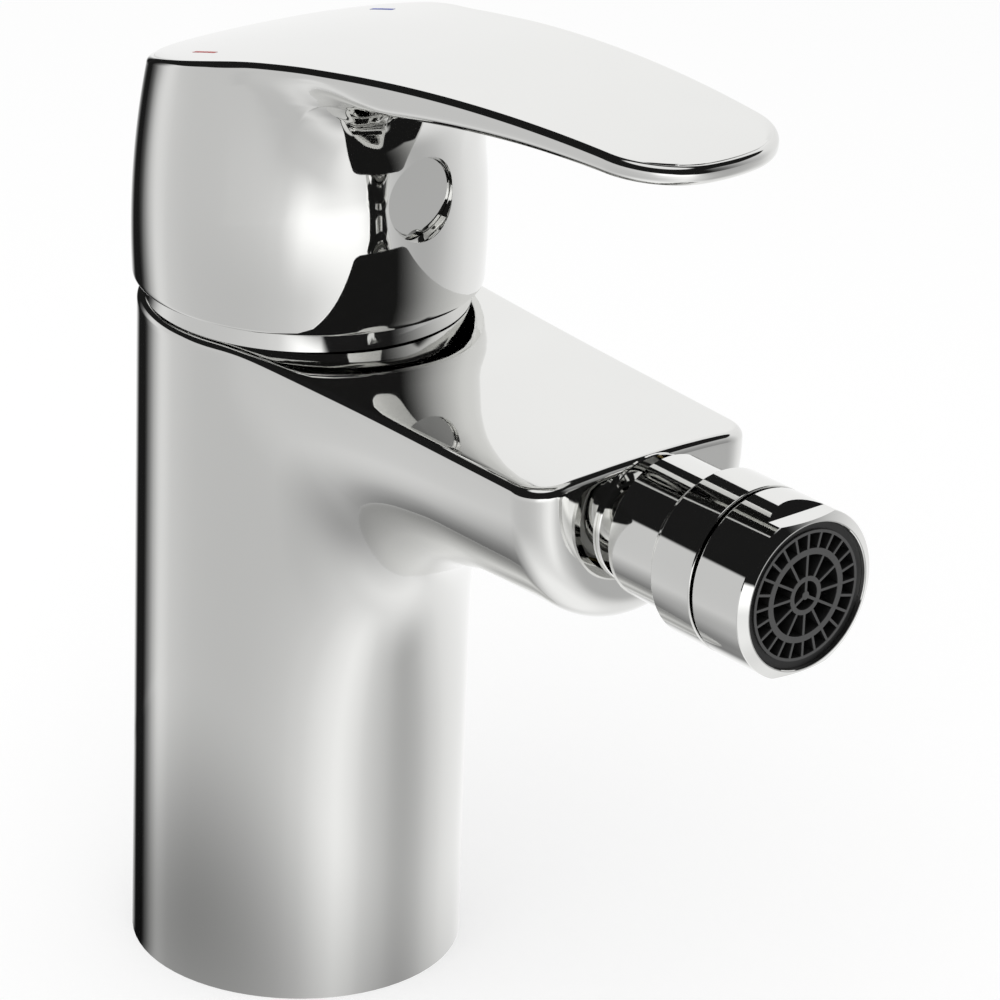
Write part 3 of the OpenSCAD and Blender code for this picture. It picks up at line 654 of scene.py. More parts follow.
def rim_radius(angle):
    """Distance from the axis to the upper edge, on the lever or on the barrel, whichever is wider."""
    ray = Vector((cos(angle), sin(angle)))
    round_r = 23.0
    for _ in range(12):
        round_r = barrel_at(lever_top(round_r * ray.x) - EDGE_TOP)
    flat_r = lever_radius(angle)
    if flat_r > round_r + LEVER_CLEAR:
        return flat_r
    if angle > BACK_TURN:
        return round_r
    r = max(round_r, flat_r)
    for _ in range(10):
        ahead, here = (outside_handle(Vector((*(ray * q), lever_top(q * ray.x) - EDGE_TOP)))
                       for q in (r + PROBE, r))
        r -= here * PROBE / (ahead - here)
    return mix(r, flat_r, smooth_share(flat_r - round_r, LEVER_NEAR, LEVER_CLEAR))


print("width of the handle at its axis", round(2 * rim_radius(pi / 2), 2), "mm")

# %% [markdown]
# Slices at equal angles would be crowded behind and far apart at the tip. So the code walks
# along the edge and pays for each step by its length, and a little more where it bends. The
# slices then stand at equal prices: close together round the corners, wider along the straight sides.

# %% Directions of the slices
def slice_directions(count, fine_steps=3000, bend_price=14, most_bend=0.2):
    """Directions from the tip to the back, closer together where the outline turns."""
    fine = [pi * i / fine_steps for i in range(fine_steps + 1)]
    points = [rim_radius(a) * Vector((cos(a), sin(a))) for a in fine]
    cost = [0.0]
    heading = 0.0
    for before, after in zip(points, points[1:]):
        step = after - before
        new_heading = atan2(step.y, step.x)
        bend = abs(new_heading - heading) if len(cost) > 1 else 0.0
        heading = new_heading
        cost.append(cost[-1] + step.length + bend_price * min(bend, most_bend))
    chosen, j = [], 0
    for i in range(count + 1):
        goal = cost[-1] * i / count
        while j < fine_steps - 1 and cost[j + 1] < goal:
            j += 1
        share = (goal - cost[j]) / max(cost[j + 1] - cost[j], 1e-9)
        chosen.append(mix(fine[j], fine[j + 1], min(max(share, 0), 1)))
    return chosen


DIRECTIONS = slice_directions(240)
print("slices from the tip to the back:", len(DIRECTIONS))

# %% [markdown]
# A slice needs a first place for each corner on the way from the barrel to the edge of the lever.
# Near the root they are spread evenly up the barrel. Where the lever stands far out there is a shelf
# instead. Both are mixed by how far the lever stands out, and then every corner slides onto the melted
# surface. The directions straight out from the edge are measured on the outline itself.

# %% Edge and root of a slice
COVE_STEPS, UNDER_STEPS, ROUND_STEPS = 28, 16, 8


def rim_and_out(angle):
    """Point of the upper edge seen from above, and the direction straight out from it."""
    point = rim_radius(angle) * Vector((cos(angle), sin(angle)))
    d = 0.002
    ahead, behind = angle + d, angle - d
    along = (rim_radius(min(ahead, pi)) * Vector((cos(ahead), sin(ahead)))
             - rim_radius(abs(behind)) * Vector((cos(behind), sin(behind))))
    if angle < 1e-6:
        return point, Vector((1, 0))
    if angle > pi - 1e-6:
        return point, Vector((-1, 0))
    return point, Vector((along.y, -along.x)).normalized()


def root_level(angle):
    """Height at which the barrel meets the underside of the lever."""
    z = 140.0
    for _ in range(20):
        z = lever_under(barrel_at(z) * max(cos(angle), 0))
    return z


def up_the_barrel(angle, low_z, high_z):
    ray, steps = Vector((cos(angle), sin(angle))), COVE_STEPS + UNDER_STEPS + ROUND_STEPS
    heights = [mix(low_z, high_z, i / steps) for i in range(1, steps + 1)]
    return [Vector((*(ray * barrel_at(z)), z)) for z in heights]


print("barrel meets the lever at", round(root_level(0), 1), "mm in front")

# %% [markdown]
# The shelf is a cove, the underside of the lever and its rounded lower edge. The cove is a curve with
# four control points, because such a curve leaves the barrel and reaches the underside without a bend.

# %% From the barrel to the edge of the lever
def shelf(angle, rim, out, overhang, level, edge_rise):
    ray = Vector((cos(angle), sin(angle)))
    reach, edge = min(COVE_R, 0.55 * overhang), min(EDGE_LOW, 0.28 * overhang)
    start = Vector((*(ray * barrel_at(level - COVE_R)), level - COVE_R))
    corner = Vector((*(ray * barrel_at(level)), level))
    far = ray * (barrel_at(level) + reach)
    end = Vector((*far, lever_under(far.x)))
    corners = []
    for i in range(1, COVE_STEPS + 1):
        t = i / COVE_STEPS
        near_start, near_end = start.lerp(corner, 0.55), end.lerp(corner, 0.55)
        corners.append(start * (1 - t) ** 3 + near_start * 3 * t * (1 - t) ** 2
                       + near_end * 3 * t * t * (1 - t) + end * t ** 3)
    inner = rim - out * edge
    for i in range(1, UNDER_STEPS + 1):
        flat = far.lerp(inner, i / UNDER_STEPS)
        corners.append(Vector((*flat, lever_under(flat.x))))
    low_z = corners[-1].z
    for i in range(1, ROUND_STEPS + 1):
        a = pi / 2 * i / ROUND_STEPS
        corners.append(Vector((*(inner + out * edge * sin(a)), low_z + edge_rise * (1 - cos(a)))))
    return corners


print("corners from the barrel to the edge:", COVE_STEPS + UNDER_STEPS + ROUND_STEPS)

# %% [markdown]
# The handle is a shell. Inside it has a roof that follows the arch of the top, a plain wall, and a lip
# under the skirt that is only a millimetre wide. A Solidify modifier would make the shell equally
# thick everywhere, also in the lever, which is solid in the real casting. So the inside is part of
# the slice.

# %% Inside of a slice
ROOF_SHARES, WALL_SHARES, WALL_FOOT = (0, 0.3, 0.6, 0.85, 1), (0.2, 0.5, 0.8, 1), 112.5
LIP = [(24.35, 108.5), (24.35, 107.4), (24.45, 107.15), (24.62, 107.08), (25.35, 107.08), (25.58, 107.14),
       (25.7, 107.32)]


def inside_corners(angle):
    """Corners from the middle of the roof inside, down the inner wall and round the lip."""
    ray = Vector((cos(angle), sin(angle)))
    inside_r = 21.3
    for _ in range(12):
        inside_r = barrel_at(lever_top(inside_r * cos(angle), ROOF)) - WALL
    corners = []
    for s in ROOF_SHARES:
        corners.append(Vector((*(ray * inside_r * s), lever_top(inside_r * s * cos(angle), ROOF))))
    roof_z = lever_top(inside_r * cos(angle), ROOF)
    for z in (mix(roof_z, WALL_FOOT, t) for t in WALL_SHARES):
        corners.append(Vector((*(ray * (barrel_at(z) - WALL)), z)))
    return corners + [Vector((*(ray * r), z)) for r, z in LIP]


print("corners inside:", len(inside_corners(0)))

# %% [markdown]
# The whole slice is the inside, the barrel, the way to the edge of the lever, a short upright band, the
# rounded upper edge and the top. The rows of the top run straight across to the middle line. If they
# met in one point, the mirror would show a crease there.

# %% One slice of the handle
BARREL_STEPS, BAND_STEPS, TOP_STEPS = 20, 2, 18
BARREL_FOOT, FIRST_TOP_SHARE = 107.6, 0.985


def edge_and_top(rim, out, top_start):
    """Corners round the upper edge and straight across the top to its middle line."""
    turns = [pi / 2 * i / ROUND_STEPS for i in range(ROUND_STEPS + 1)]
    corners = [Vector((*(rim - out * EDGE_TOP * (1 - cos(a))), top_start + EDGE_TOP * sin(a))) for a in turns]
    inner = rim - out * EDGE_TOP
    for i in range(1, TOP_STEPS + 1):
        share = 1 - i / TOP_STEPS if i > 1 else FIRST_TOP_SHARE
        corners.append(Vector((inner.x, inner.y * share, lever_top(inner.x))))
    return corners


def handle_slice(angle):
    """Corners of one slice, from the middle of the roof inside to the middle of the top."""
    ray = Vector((cos(angle), sin(angle)))
    rim, out = rim_and_out(angle)
    top_z, under_z = lever_top(rim.x), lever_under(rim.x)
    overhang = rim.length - barrel_at(under_z)
    level, top_start = root_level(angle), top_z - EDGE_TOP
    edge_rise = min(mix(4.5, EDGE_LOW, smooth_share(overhang, 3, 16)), top_start - under_z - 0.6)
    low_z, high_z = level - COVE_R, min(level + 4.5, top_start - 0.6)
    way = up_the_barrel(angle, low_z, high_z)
    if overhang > 0.5:
        hard = shelf(angle, rim, out, overhang, level, edge_rise)
        way = [even.lerp(far, smooth_share(overhang, 0.5, 8)) for even, far in zip(way, hard)]
    band_end = Vector((*rim, top_start))
    way += [way[-1].lerp(band_end, i / (BAND_STEPS + 1)) for i in range(1, BAND_STEPS + 1)]
    way = [slide_onto(outside_handle, p, 10) if -12 < p.x < 58 else p for p in way]
    heights = [mix(BARREL_FOOT, low_z, i / BARREL_STEPS) for i in range(BARREL_STEPS + 1)]
    barrel = [Vector((*(ray * barrel_at(z)), z)) for z in heights]
    return inside_corners(angle) + barrel + way + edge_and_top(rim, out, top_start)


SLICES = [handle_slice(a) for a in DIRECTIONS]
print("corners in a slice:", len(SLICES[0]))

# %% [markdown]
# The slices and their mirror images lie side by side in one grid. Where the lower edge of the lever
# runs out into the barrel, a fold is left that a polisher would have worn away. `smooth_vert` wears
# it away here: it moves each corner towards the middle of its neighbours. It works three times, each
# time a little further from the upper edge, so that it leaves no border of its own.

# %% Skin of the handle
SMOOTH_GAPS, SMOOTH_ROUNDS = (4.5, 6, 8), 16
handle = bmesh.new()
half = len(DIRECTIONS) - 1
wrapped(handle, len(SLICES[0]) - 1, 2 * half,
        both_sides(lambda row, column: SLICES[column][row].copy(), half))
bmesh.ops.remove_doubles(handle, verts=handle.verts[:], dist=0.0008)
bmesh.ops.dissolve_degenerate(handle, dist=0.0008, edges=handle.edges[:])
for gap in SMOOTH_GAPS:
    root = [v for v in handle.verts if 10 < v.co.x < 41 and v.co.to_2d().length > barrel_at(v.co.z) - 1
            and lever_under(v.co.x) - 16 < v.co.z < lever_top(v.co.x) - gap]
    for _ in range(SMOOTH_ROUNDS):
        bmesh.ops.smooth_vert(handle, verts=root, factor=0.5,
                              use_axis_x=True, use_axis_y=True, use_axis_z=True)
print("handle skin:", len(handle.faces), "faces,", sum(not e.is_manifold for e in handle.edges), "open edges")

# %% [markdown]
# In front, under the lever, the barrel has a round hole for the screw that clamps it to the stem. The
# mouth of the hole is broken with a shallow cone, so it catches a line of light. The hole could be
# left out of the mesh and drawn as a dark disc, but in a mirror finish its wall shows.

# %% Hole in the handle
SCREW_Z, HOLE_R = 126.1, 5.85
cut_away(handle, [(HOLE_R, (19, 0, SCREW_Z), (40, 0, SCREW_Z))])
cut_away(handle, [(HOLE_R - 0.05, (24.7, 0, SCREW_Z), (26.2, 0, SCREW_Z), HOLE_R + 0.7)])
piece("handle", handle, "chrome", "lever", "lever_handle")

# %% [markdown]
# A plated cap closes the hole. It sits a little below the mouth and has a small notch underneath,
# where a blade can lift it out. It is turned from a profile, and the notch is cut with a thin bar.

# %% Cap over the screw
CAP_FACE, CAP_R = 24.25, HOLE_R - 0.02
cap = bmesh.new()
turned(cap, [(20.3, 0), (20.3, CAP_R - 0.6), (21.0, CAP_R), (CAP_FACE - 0.2, CAP_R),
             (CAP_FACE - 0.06, CAP_R - 0.06), (CAP_FACE, CAP_R - 0.2), (CAP_FACE, 0)],
       Vector((0, 0, SCREW_Z)), Vector((1, 0, 0)), closed=False)
notch_z = SCREW_Z - CAP_R - 1.1
cut_away(cap, [(2.0, (CAP_FACE - 0.8, -0.4, notch_z), (CAP_FACE + 1, -0.4, notch_z))])
piece("screw_cap", cap, "chrome", "lever", "screw_plug")

# %% [markdown]
# Two short painted lines on the top of the lever show hot and cold. Each is a strip of a grid laid on
# the arch of the top and thickened downward. It stands a hair above the chrome, as paint does.

# %% Lines for hot and cold
LINE_START, LINE_SIDE, LINE_HALF = -6.75, 16.3, 0.35
LINE_STEP, PROUD, PAINT_DEPTH = 0.5, 0.03, 0.4


def painted_line(name, side, finish_name, node):
    strip = bmesh.new()
    wrapped(strip, 2, 10, lambda row, column: Vector(
        (LINE_START + LINE_STEP * column, side * LINE_SIDE + LINE_HALF * (row - 1), 0)))
    for corner in strip.verts:
        corner.co.z = lever_top(corner.co.x) + PROUD
    made = bmesh.ops.extrude_face_region(strip, geom=strip.faces[:])["geom"]
    lower = [part for part in made if isinstance(part, bmesh.types.BMVert)]
    bmesh.ops.translate(strip, vec=(0, 0, -PAINT_DEPTH), verts=lower)
    piece(name, strip, finish_name, "lever", node)


painted_line("red_line", -1, "red_mark", "hot_mark")
painted_line("blue_line", 1, "blue_mark", "cold_mark")

# %% [markdown]
# ## Turned chrome pieces
# The ring under the handle, the ball nipple and the two shells of the nozzle were all made on a
# lathe, so each is a profile that is spun. The side of the ring leans in towards its top, so
# that it shows the horizon and not the spout.

# %% Ring under the handle
RING_HOLE, RING_TOP = 14.55, 107.05
ring = bmesh.new()
turned(ring, [(BODY_TOP, RING_HOLE), (BODY_TOP, 23.95), (106.85, 23.37), (107.0, 23.3), (RING_TOP, 23.15),
              (RING_TOP, RING_HOLE)], *AROUND_Z, steps=160)
piece("ring_under_handle", ring, "chrome", "body", "cover_ring")

# %% [markdown]
# The nipple is screwed into the end of the spout. Its flange covers the edge of the hole, and a ball
# on a thin neck carries the nozzle. A sphere joined to a cylinder would need a clean seam, so the ball
# is simply a round stretch of the same profile.

# %% Ball nipple
AROUND_NOZZLE = (Vector((0, 0, NOZZLE_Z)), Vector((1, 0, 0)))
BALL_X, BALL_R, NECK_R, WATER_R = 84.0, 7.4, 4.5, 3.0


def ball_stretch(start_r, end_r, steps=24):
    """Points of the ball from the neck to the mouth of the bore."""
    first, last_angle = pi - asin(start_r / BALL_R), asin(end_r / BALL_R)
    turns = [mix(first, last_angle, i / steps) for i in range(steps + 1)]
    return [(BALL_X + BALL_R * cos(a), BALL_R * sin(a)) for a in turns]


FLANGE_R, FLANGE_FACE, FLANGE_EASE = 9.5, 75.65, 0.15
nipple = bmesh.new()
turned(nipple, [(64.0, WATER_R), (64.0, 6.5), (SPOUT_END, 6.5), (SPOUT_END, FLANGE_R - FLANGE_EASE),
                (SPOUT_END + FLANGE_EASE, FLANGE_R), (FLANGE_FACE - FLANGE_EASE, FLANGE_R),
                (FLANGE_FACE, FLANGE_R - FLANGE_EASE), (FLANGE_FACE, NECK_R)]
       + ball_stretch(NECK_R, WATER_R), *AROUND_NOZZLE)
piece("nipple_with_ball", nipple, "chrome", "body", "ball_nipple", sharp=30)

# %% [markdown]
# The nozzle is two turned shells: a socket that swivels on the ball, with a short conical shoulder,
# and a collar that holds the aerator. The edges at the joint between them are rounded.

# %% Socket of the nozzle
def rounded(x, r, x_way, r_way, size=0.7, steps=6):
    """Points of a rounded corner of a profile, from the face to the outside."""
    turns = [pi / 2 * i / steps for i in range(steps + 1)]
    return [(x + x_way * size * (1 - sin(a)), r + r_way * size * (1 - cos(a))) for a in reversed(turns)]


SHELL_R, BACK_R, SOCKET_END = 12.2, 10.5, 96.95
socket = bmesh.new()
turned(socket, [(78.5, 9.2), (78.5, 10.2), (78.8, BACK_R), (87.5, BACK_R), (87.7, BACK_R + 0.1),
                (89.3, SHELL_R - 0.1), (89.5, SHELL_R)] + rounded(SOCKET_END, SHELL_R, -1, -1, 0.25)[::-1]
       + [(SOCKET_END, 10.7), (91.6, 10.7), (91.6, 9.6), (88.0, 9.6)], *AROUND_NOZZLE)
piece("nozzle_socket", socket, "chrome", "nozzle", "swivel_socket", sharp=30)

# %% [markdown]
# The collar has two flats for a spanner, which run out in a slope. A turned profile cannot have flats,
# so a block with a leaning back is cut away above and below.

# %% Collar of the aerator
FLAT, FLAT_START, FLAT_LEAN = 11.1, 104.2, radians(30)
COLLAR_START, INSERT_R = 97.5, 10.58
MILL_HALF, MILL_FAR, MILL_END = 13, 17, 110
collar = bmesh.new()
turned(collar, [(92.8, 8.9), (92.8, 10.4), (COLLAR_START, 10.4)] + rounded(COLLAR_START, SHELL_R, 1, -1, 0.4)
       + [(106.4, SHELL_R), (106.52, SHELL_R - 0.08), (107.22, 10.95), (107.3, 10.82), (107.3, 10.66),
          (107.2, INSERT_R), (98.0, INSERT_R), (98.0, 8.9)], *AROUND_NOZZLE)
for side in (1, -1):
    mill = bmesh.new()
    low, high = sorted((side * FLAT, side * MILL_FAR))
    block(mill, (FLAT_START, -MILL_HALF, NOZZLE_Z + low), (MILL_END, MILL_HALF, NOZZLE_Z + high))
    for corner in mill.verts:
        if corner.co.x < MILL_END - 1:
            corner.co.x -= (abs(corner.co.z - NOZZLE_Z) - FLAT) / tan(FLAT_LEAN)
    cut_away(collar, tool=mill)
piece("aerator_collar", collar, "chrome", "nozzle", "aerator_ring", sharp=20)

# %% [markdown]
# The aerator insert is a black plastic tube with a fine web of rings and spokes in front. The rings are
# spun and the spokes are thin blocks turned about the axis, all in one mesh. The front edges of the web
# catch more light than the walls behind them, and that light is painted into the colour: the plastic
# turns a lighter grey in front of a place along the nozzle, a painted highlight. A second material on
# the front faces would do as well, but needs a choice of faces.

# %% Material of the aerator insert, with a painted highlight in front
def paint_front_highlight(material, front, grey):
    """Paints a highlight: turns the colour of a finish grey in front of a place on the X axis."""
    nodes, link = material.node_tree.nodes, material.node_tree.links.new
    work = next(n for n in nodes if n.type == "GROUP")
    along = nodes.new("ShaderNodeSeparateXYZ")
    link(nodes.new("ShaderNodeTexCoord").outputs["Object"], along.inputs["Vector"])
    share = nodes.new("ShaderNodeMapRange")
    share.inputs["From Min"].default_value = front - 0.0001
    share.inputs["From Max"].default_value = front
    link(along.outputs["X"], share.inputs["Value"])
    # Both colours of the finish turn to the painted highlight grey in front.
    for name in ("Base", "Tint"):
        tone = nodes.new("ShaderNodeMix")
        tone.data_type = "RGBA"
        tone.inputs["A"].default_value = work.inputs[name].default_value[:]
        tone.inputs["B"].default_value = (grey, grey, grey, 1)
        link(share.outputs["Result"], tone.inputs["Factor"])
        link(tone.outputs["Result"], work.inputs[name])


# The front faces of the web are painted a lighter grey, a painted highlight for the light they catch.
FRONT_X, FRONT_HIGHLIGHT_GREY = 106.85, 0.065
FINISHES["insert_plastic_painted_highlight"] = finish("insert_plastic_painted_highlight", (0.010, 0.010, 0.010), (0.016, 0.016, 0.016),
                                    0, 0.36, 0.5, 1500, 0.00001)
paint_front_highlight(FINISHES["insert_plastic_painted_highlight"], FRONT_X * MM, FRONT_HIGHLIGHT_GREY)
print("material", FINISHES["insert_plastic_painted_highlight"].name)

# %% [markdown]
# The web itself breaks the water into fine jets and is moulded in one piece. Cutting its many small
# windows out of a disc would take as many Boolean cuts. Adding rings and spokes that reach into each
# other is quicker and gives the same view from outside.

# %% Insert of the aerator
WEB_BACK, WEB_FRONT = 104.2, 106.9


def web_ring(bm, inner, outer):
    turned(bm, [(WEB_BACK, inner), (WEB_BACK, outer), (WEB_FRONT, outer), (WEB_FRONT, inner)], *AROUND_NOZZLE)


def spokes(bm, count, inner, outer, width, first=0.0):
    for i in range(count):
        place = (Matrix.Translation((0, 0, NOZZLE_Z)) @ Matrix.Rotation(first + 2 * pi * i / count, 4, "X")
                 @ Matrix.Translation(((WEB_BACK + WEB_FRONT) / 2, 0, (inner + outer) / 2))
                 @ Matrix.Diagonal((WEB_FRONT - WEB_BACK - 0.02, width, outer - inner, 1)))
        bmesh.ops.create_cube(bm, size=1, matrix=place)


insert = bmesh.new()
turned(insert, [(98.1, 9.4), (98.1, 10.55), (106.6, 10.55), (106.6, 9.4)], *AROUND_NOZZLE)
for inner, outer in ((9.0, 9.41), (5.9, 6.8), (2.1, 2.8)):
    web_ring(insert, inner, outer)
web_ring(insert, 0.01, 0.6)
spokes(insert, 24, 6.7, 9.1, 0.36)
spokes(insert, 12, 2.7, 6.0, 0.36)
spokes(insert, 3, 0.3, 2.2, 0.4)
piece("aerator_web", insert, "insert_plastic_painted_highlight", "nozzle", "aerator_insert", sharp=30, slot="black_plastic")

# %% [markdown]
# ## Pieces inside
# The cartridge, the seals and the other inner pieces keep their CAD shape, because nobody sees them
# until the mixer is taken apart. They only get the finish that the record names for them: brass,
# steel, rubber, ceramic or plastic.

# %% Finishes of the pieces that the frame carries
slot_of = {part["node"]: part["material_slot"] for part in frame["record"]["subparts"]}
for name, node in frame["nodes"].items():
    node.data.materials.clear()
    node.data.materials.append(FINISHES[slot_of[name]])
print(len(slot_of), "nodes of the frame have a finish")

# %% [markdown]
# ## Surroundings
# A mirror shows the room, so the room is half of the finish. The photograph was lit like a catalogue
# picture: a pale sweep on the ground all round, a tall white panel behind on the right, and black
# boards above the camera and behind on the left, which draw the dark lines along the edges. Boards
# could stand in the scene as objects, but they would get in the way of other views. So the world
# itself holds them: its brightness depends on the direction, and only reflections see it that way.
# The camera sees white, and matt surfaces get an even light.

# %% Light round the ground and at the horizon
def ramp(nodes, name, stops, way="CARDINAL"):
    """A brightness for each direction in degrees, with soft steps between the stops."""
    node = nodes.new("ShaderNodeValToRGB")
    node.name = node.label = name
    node.color_ramp.interpolation = way
    elements = node.color_ramp.elements
    while len(elements) < len(stops):
        elements.new(0.5)
    for element, (angle, value) in zip(elements, stops):
        element.position = (angle + 180) / 360
        element.color = (value, value, value, 1)
    return node


GROUND_LIGHT = [(-180, 0.01), (-175, 0.09), (-169, 0.28), (-165, 0.46), (-160, 0.66), (-154, 0.82),
                (-142, 0.72), (-120, 0.63), (-75, 0.62), (-50, 0.70), (-35, 0.82), (-18, 1.0), (-8, 1.0),
                (5, 0.80), (25, 0.58), (42, 0.50), (60, 0.66), (80, 0.86), (110, 0.97), (134, 1.0),
                (148, 0.92), (156, 0.60), (161, 0.20), (165, 0.02), (170, 0), (176, 0), (180, 0.01)]
HORIZON_LIGHT = [(-180, 0.08), (-174, 0.28), (-167, 0.60), (-158, 0.82), (-142, 0.72), (-125, 0.66),
                 (-90, 0.68), (-66, 0.76), (-56, 0.88), (-46, 1.25), (-38, 1.40), (-15, 1.40), (-4, 1.30),
                 (6, 0.85), (20, 0.52), (45, 0.50), (60, 0.62), (80, 0.86), (105, 0.92), (120, 0.93),
                 (146, 0.93), (153, 0.10), (164, 0.02), (174, 0.01), (180, 0.08)]
LIGHT_HEIGHT = [(-180, 6), (-165, 10), (-130, 13), (-118, 8), (-95, 4), (-30, 0), (-20, -4), (12, -4),
                (16, 40), (44, 40), (54, 34), (100, 36), (120, 48), (142, 40), (148, -5), (180, 6)]
print("light round the room in", len(GROUND_LIGHT), "and", len(HORIZON_LIGHT), "steps")

# %% [markdown]
# The world is built from many small sums, so two short helpers save a lot of lines. One adds a Math
# node and links or sets its inputs. The other is a Map Range node that eases from one value to another,
# which gives a board or a panel a soft edge.

# %% Helpers for the world
world = bpy.data.worlds.new("studio")
bpy.context.scene.world = world
world.use_nodes = True
nodes, link = world.node_tree.nodes, world.node_tree.links.new
nodes.clear()


def fill(socket, value):
    """Sets a plain number, or links what another node gives."""
    if isinstance(value, (int, float)):
        socket.default_value = value
    else:
        link(value, socket)


def maths(operation, *values):
    node = nodes.new("ShaderNodeMath")
    node.operation = operation
    for socket, value in zip(node.inputs, values):
        fill(socket, value)
    return node.outputs["Value"]


def eased(value, low, high):
    node = nodes.new("ShaderNodeMapRange")
    node.interpolation_type = "SMOOTHSTEP"
    fill(node.inputs["Value"], value)
    fill(node.inputs["From Min"], low)
    fill(node.inputs["From Max"], high)
    return node.outputs["Result"]


print("world", world.name, "is ready for its nodes")

# %% [markdown]
# The direction of a ray gives two angles: how far it turns round the part and how far it rises. The
# turn picks a brightness from two ramps, one for the ground and one for the horizon, and the rise
# mixes them. A ramp holds values from 0 to 1 only, so the values are divided by the brightest that is
# allowed and multiplied again afterwards. Straight below, the ground is white all round.

# %% Sweep of light in the world
BRIGHTEST = 1.5
BELOW, STRAIGHT_BELOW = 0.9, 1.05
direction = nodes.new("ShaderNodeSeparateXYZ")
link(nodes.new("ShaderNodeTexCoord").outputs["Generated"], direction.inputs["Vector"])
turn_angle = maths("ARCTAN2", direction.outputs["Y"], direction.outputs["X"])
turn_share = maths("ADD", maths("DIVIDE", turn_angle, 2 * pi), 0.5)
rise = maths("MULTIPLY", maths("ARCSINE", direction.outputs["Z"]), 180 / pi)
round_ground = ramp(nodes, "light_round_ground", [(a, v / BRIGHTEST) for a, v in GROUND_LIGHT])
round_horizon = ramp(nodes, "light_round_horizon", [(a, v / BRIGHTEST) for a, v in HORIZON_LIGHT])
heights = ramp(nodes, "height_of_light", [(a, (h + 90) / 180) for a, h in LIGHT_HEIGHT], "LINEAR")
for node in (round_ground, round_horizon, heights):
    link(turn_share, node.inputs["Fac"])
brightness = nodes.new("ShaderNodeMix")
link(eased(rise, -25, -11), brightness.inputs["Factor"])
link(round_ground.outputs["Color"], brightness.inputs["A"])
link(round_horizon.outputs["Color"], brightness.inputs["B"])
all_round = maths("MULTIPLY", brightness.outputs["Result"], BRIGHTEST)
from_below = maths("ADD", BELOW, maths("MULTIPLY", eased(rise, -58, -75), STRAIGHT_BELOW - BELOW))
steep = eased(rise, -38, -64)
sweep = maths("ADD", maths("MULTIPLY", all_round, maths("SUBTRACT", 1, steep)),
              maths("MULTIPLY", steep, from_below))
print("sweep of light made with", len(nodes), "nodes")

# %% [markdown]
# The boards come next. Above a height that changes round the room the light stops, and a black board
# begins. One more board stands in front with a soft edge on its right side, and a bright ceiling
# panel closes the room overhead.

# %% Boards and ceiling in the world
DARK_BOARD, CEILING = 0.012, 0.95
BOARD_EDGE = 3
edge = maths("SUBTRACT", maths("MULTIPLY", heights.outputs["Color"], 180), 90)
lit = maths("SUBTRACT", 1, eased(rise, edge, maths("ADD", edge, BOARD_EDGE)))
turn_degrees = maths("MULTIPLY", maths("SUBTRACT", turn_share, 0.5), 360)
beside_board = maths("MAXIMUM", eased(turn_degrees, 16, 58), eased(turn_degrees, 0, -2))
shaded = maths("MULTIPLY", eased(rise, -5, -2), maths("SUBTRACT", 1, beside_board))
lit = maths("MULTIPLY", lit, maths("SUBTRACT", 1, shaded))
overhead = maths("MULTIPLY", eased(rise, 66, 72), CEILING)
room = maths("MAXIMUM", maths("MULTIPLY", sweep, lit), maths("MAXIMUM", overhead, DARK_BOARD))
print("room made with", len(nodes), "nodes")

# %% [markdown]
# At last the world asks what kind of ray is looking. A Light Path node tells reflections from the
# rest: they see the room, the camera sees plain white, and matt surfaces get an even light.

# %% Who sees the room
EVEN_LIGHT = 0.7
mirror_light, even_light, white = (nodes.new("ShaderNodeBackground") for _ in range(3))
link(room, mirror_light.inputs["Color"])
even_light.inputs["Color"].default_value = (1, 1, 1, 1)
even_light.inputs["Strength"].default_value = EVEN_LIGHT
white.inputs["Color"].default_value = (1, 1, 1, 1)
path = nodes.new("ShaderNodeLightPath")
seen_in_metal, seen_by_camera = nodes.new("ShaderNodeMixShader"), nodes.new("ShaderNodeMixShader")
mirrored = maths("MAXIMUM", path.outputs["Is Glossy Ray"], path.outputs["Is Transmission Ray"])
link(mirrored, seen_in_metal.inputs["Fac"])
link(even_light.outputs["Background"], seen_in_metal.inputs[1])
link(mirror_light.outputs["Background"], seen_in_metal.inputs[2])
link(path.outputs["Is Camera Ray"], seen_by_camera.inputs["Fac"])
link(seen_in_metal.outputs["Shader"], seen_by_camera.inputs[1])
link(white.outputs["Background"], seen_by_camera.inputs[2])
link(seen_by_camera.outputs["Shader"], nodes.new("ShaderNodeOutputWorld").inputs["Surface"])
print("world with", len(nodes), "nodes")

# %% [markdown]
# ## Floor and lamp
# The mixer stands on a pale sheet that runs out of the picture on all sides. One flat face is enough,
# because no edge of it is ever seen. It lies a hair below the foot.

# %% Floor
FLOOR_SIZE, FLOOR_GAP = 4, 0.0001
sheet = bmesh.new()
bmesh.ops.create_grid(sheet, x_segments=1, y_segments=1, size=FLOOR_SIZE)
bmesh.ops.translate(sheet, vec=(0, 0, -FLOOR_GAP), verts=sheet.verts[:])
sheet_mesh = bpy.data.meshes.new("floor")
sheet.to_mesh(sheet_mesh)
sheet.free()
floor = bpy.data.objects.new("floor", sheet_mesh)
bpy.context.scene.collection.objects.link(floor)
print("floor", 2 * FLOOR_SIZE, "m wide")

# %% [markdown]
# The sheet is matt and glows a little, so that it stays nearly white and only keeps the soft shadow of
# the mixer. In reflections it lets the light of the sweep through, only a little darker close to the
# foot, where the mixer shades it. A reflection of the matt sheet itself would look dull.

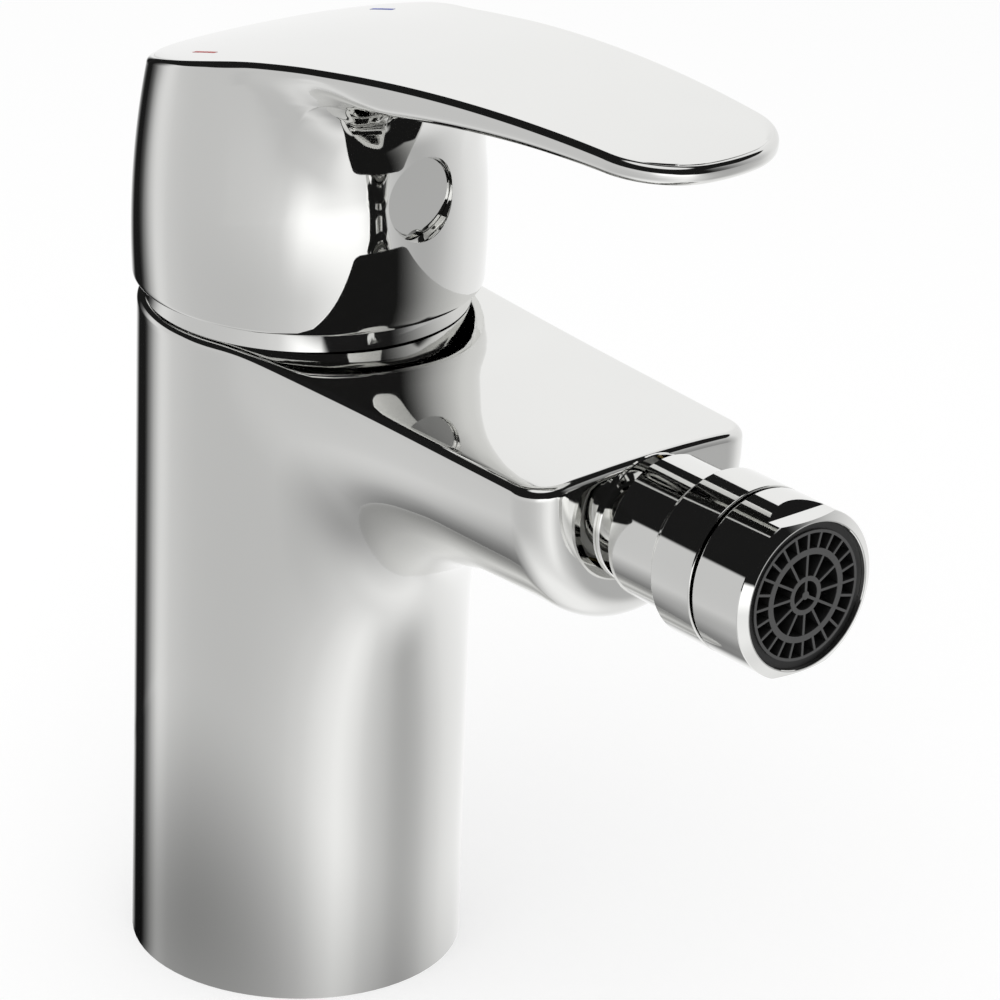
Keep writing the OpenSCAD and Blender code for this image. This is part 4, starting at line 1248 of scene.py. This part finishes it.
# %% Material of the floor
PAPER_GREY, GLOW = 0.5, 0.575
SHADE_CENTRE, SHADE_REACH, SHADE_LEAST = (-0.008, -0.038, 0), 0.09, 0.44
paper = bpy.data.materials.new("pale_sweep")
paper.use_nodes = True
nodes, link = paper.node_tree.nodes, paper.node_tree.links.new
nodes.clear()
matt, glow = nodes.new("ShaderNodeBsdfDiffuse"), nodes.new("ShaderNodeEmission")
both = nodes.new("ShaderNodeAddShader")
matt.inputs["Color"].default_value = (PAPER_GREY, PAPER_GREY, PAPER_GREY, 1)
glow.inputs["Strength"].default_value = GLOW
link(matt.outputs["BSDF"], both.inputs[0])
link(glow.outputs["Emission"], both.inputs[1])
reach = nodes.new("ShaderNodeVectorMath")
reach.operation = "DISTANCE"
reach.inputs[1].default_value = SHADE_CENTRE
link(nodes.new("ShaderNodeTexCoord").outputs["Object"], reach.inputs[0])
near = nodes.new("ShaderNodeMapRange")
near.interpolation_type = "SMOOTHSTEP"
near.inputs["From Min"].default_value = 0
near.inputs["From Max"].default_value = SHADE_REACH
near.inputs["To Min"].default_value = SHADE_LEAST
link(reach.outputs["Value"], near.inputs["Value"])
through = nodes.new("ShaderNodeBsdfTransparent")
link(near.outputs["Result"], through.inputs["Color"])
path, by_ray = nodes.new("ShaderNodeLightPath"), nodes.new("ShaderNodeMixShader")
link(path.outputs["Is Glossy Ray"], by_ray.inputs["Fac"])
link(both.outputs["Shader"], by_ray.inputs[1])
link(through.outputs["BSDF"], by_ray.inputs[2])
link(by_ray.outputs["Shader"], nodes.new("ShaderNodeOutputMaterial").inputs["Surface"])
sheet_mesh.materials.append(paper)
print("material", paper.name, "with", len(nodes), "nodes")

# %% [markdown]
# A soft lamp above gives the shadow on the sheet its direction. It is hidden from reflections, where it
# would add a square of light that the photograph doesn't have. The Standard view keeps white as white.

# %% Lamp and view
LAMP_PLACE, LAMP_LINE = Vector((0.3, -0.4, 0.9)), Vector((0.3, -0.4, 0.85))
lamp = bpy.data.objects.new("soft_panel", bpy.data.lights.new("soft_panel", "AREA"))
lamp.data.size = 0.8
lamp.data.energy = 3
lamp.visible_glossy = False
lamp_turn = LAMP_LINE.to_track_quat("Z", "Y").to_matrix().to_4x4()
lamp.matrix_world = Matrix.Translation(LAMP_PLACE) @ lamp_turn
bpy.context.scene.collection.objects.link(lamp)
bpy.context.scene.view_settings.view_transform = "Standard"
print("lamp of", lamp.data.energy, "W,", round(LAMP_PLACE.z, 2), "m above the sheet")
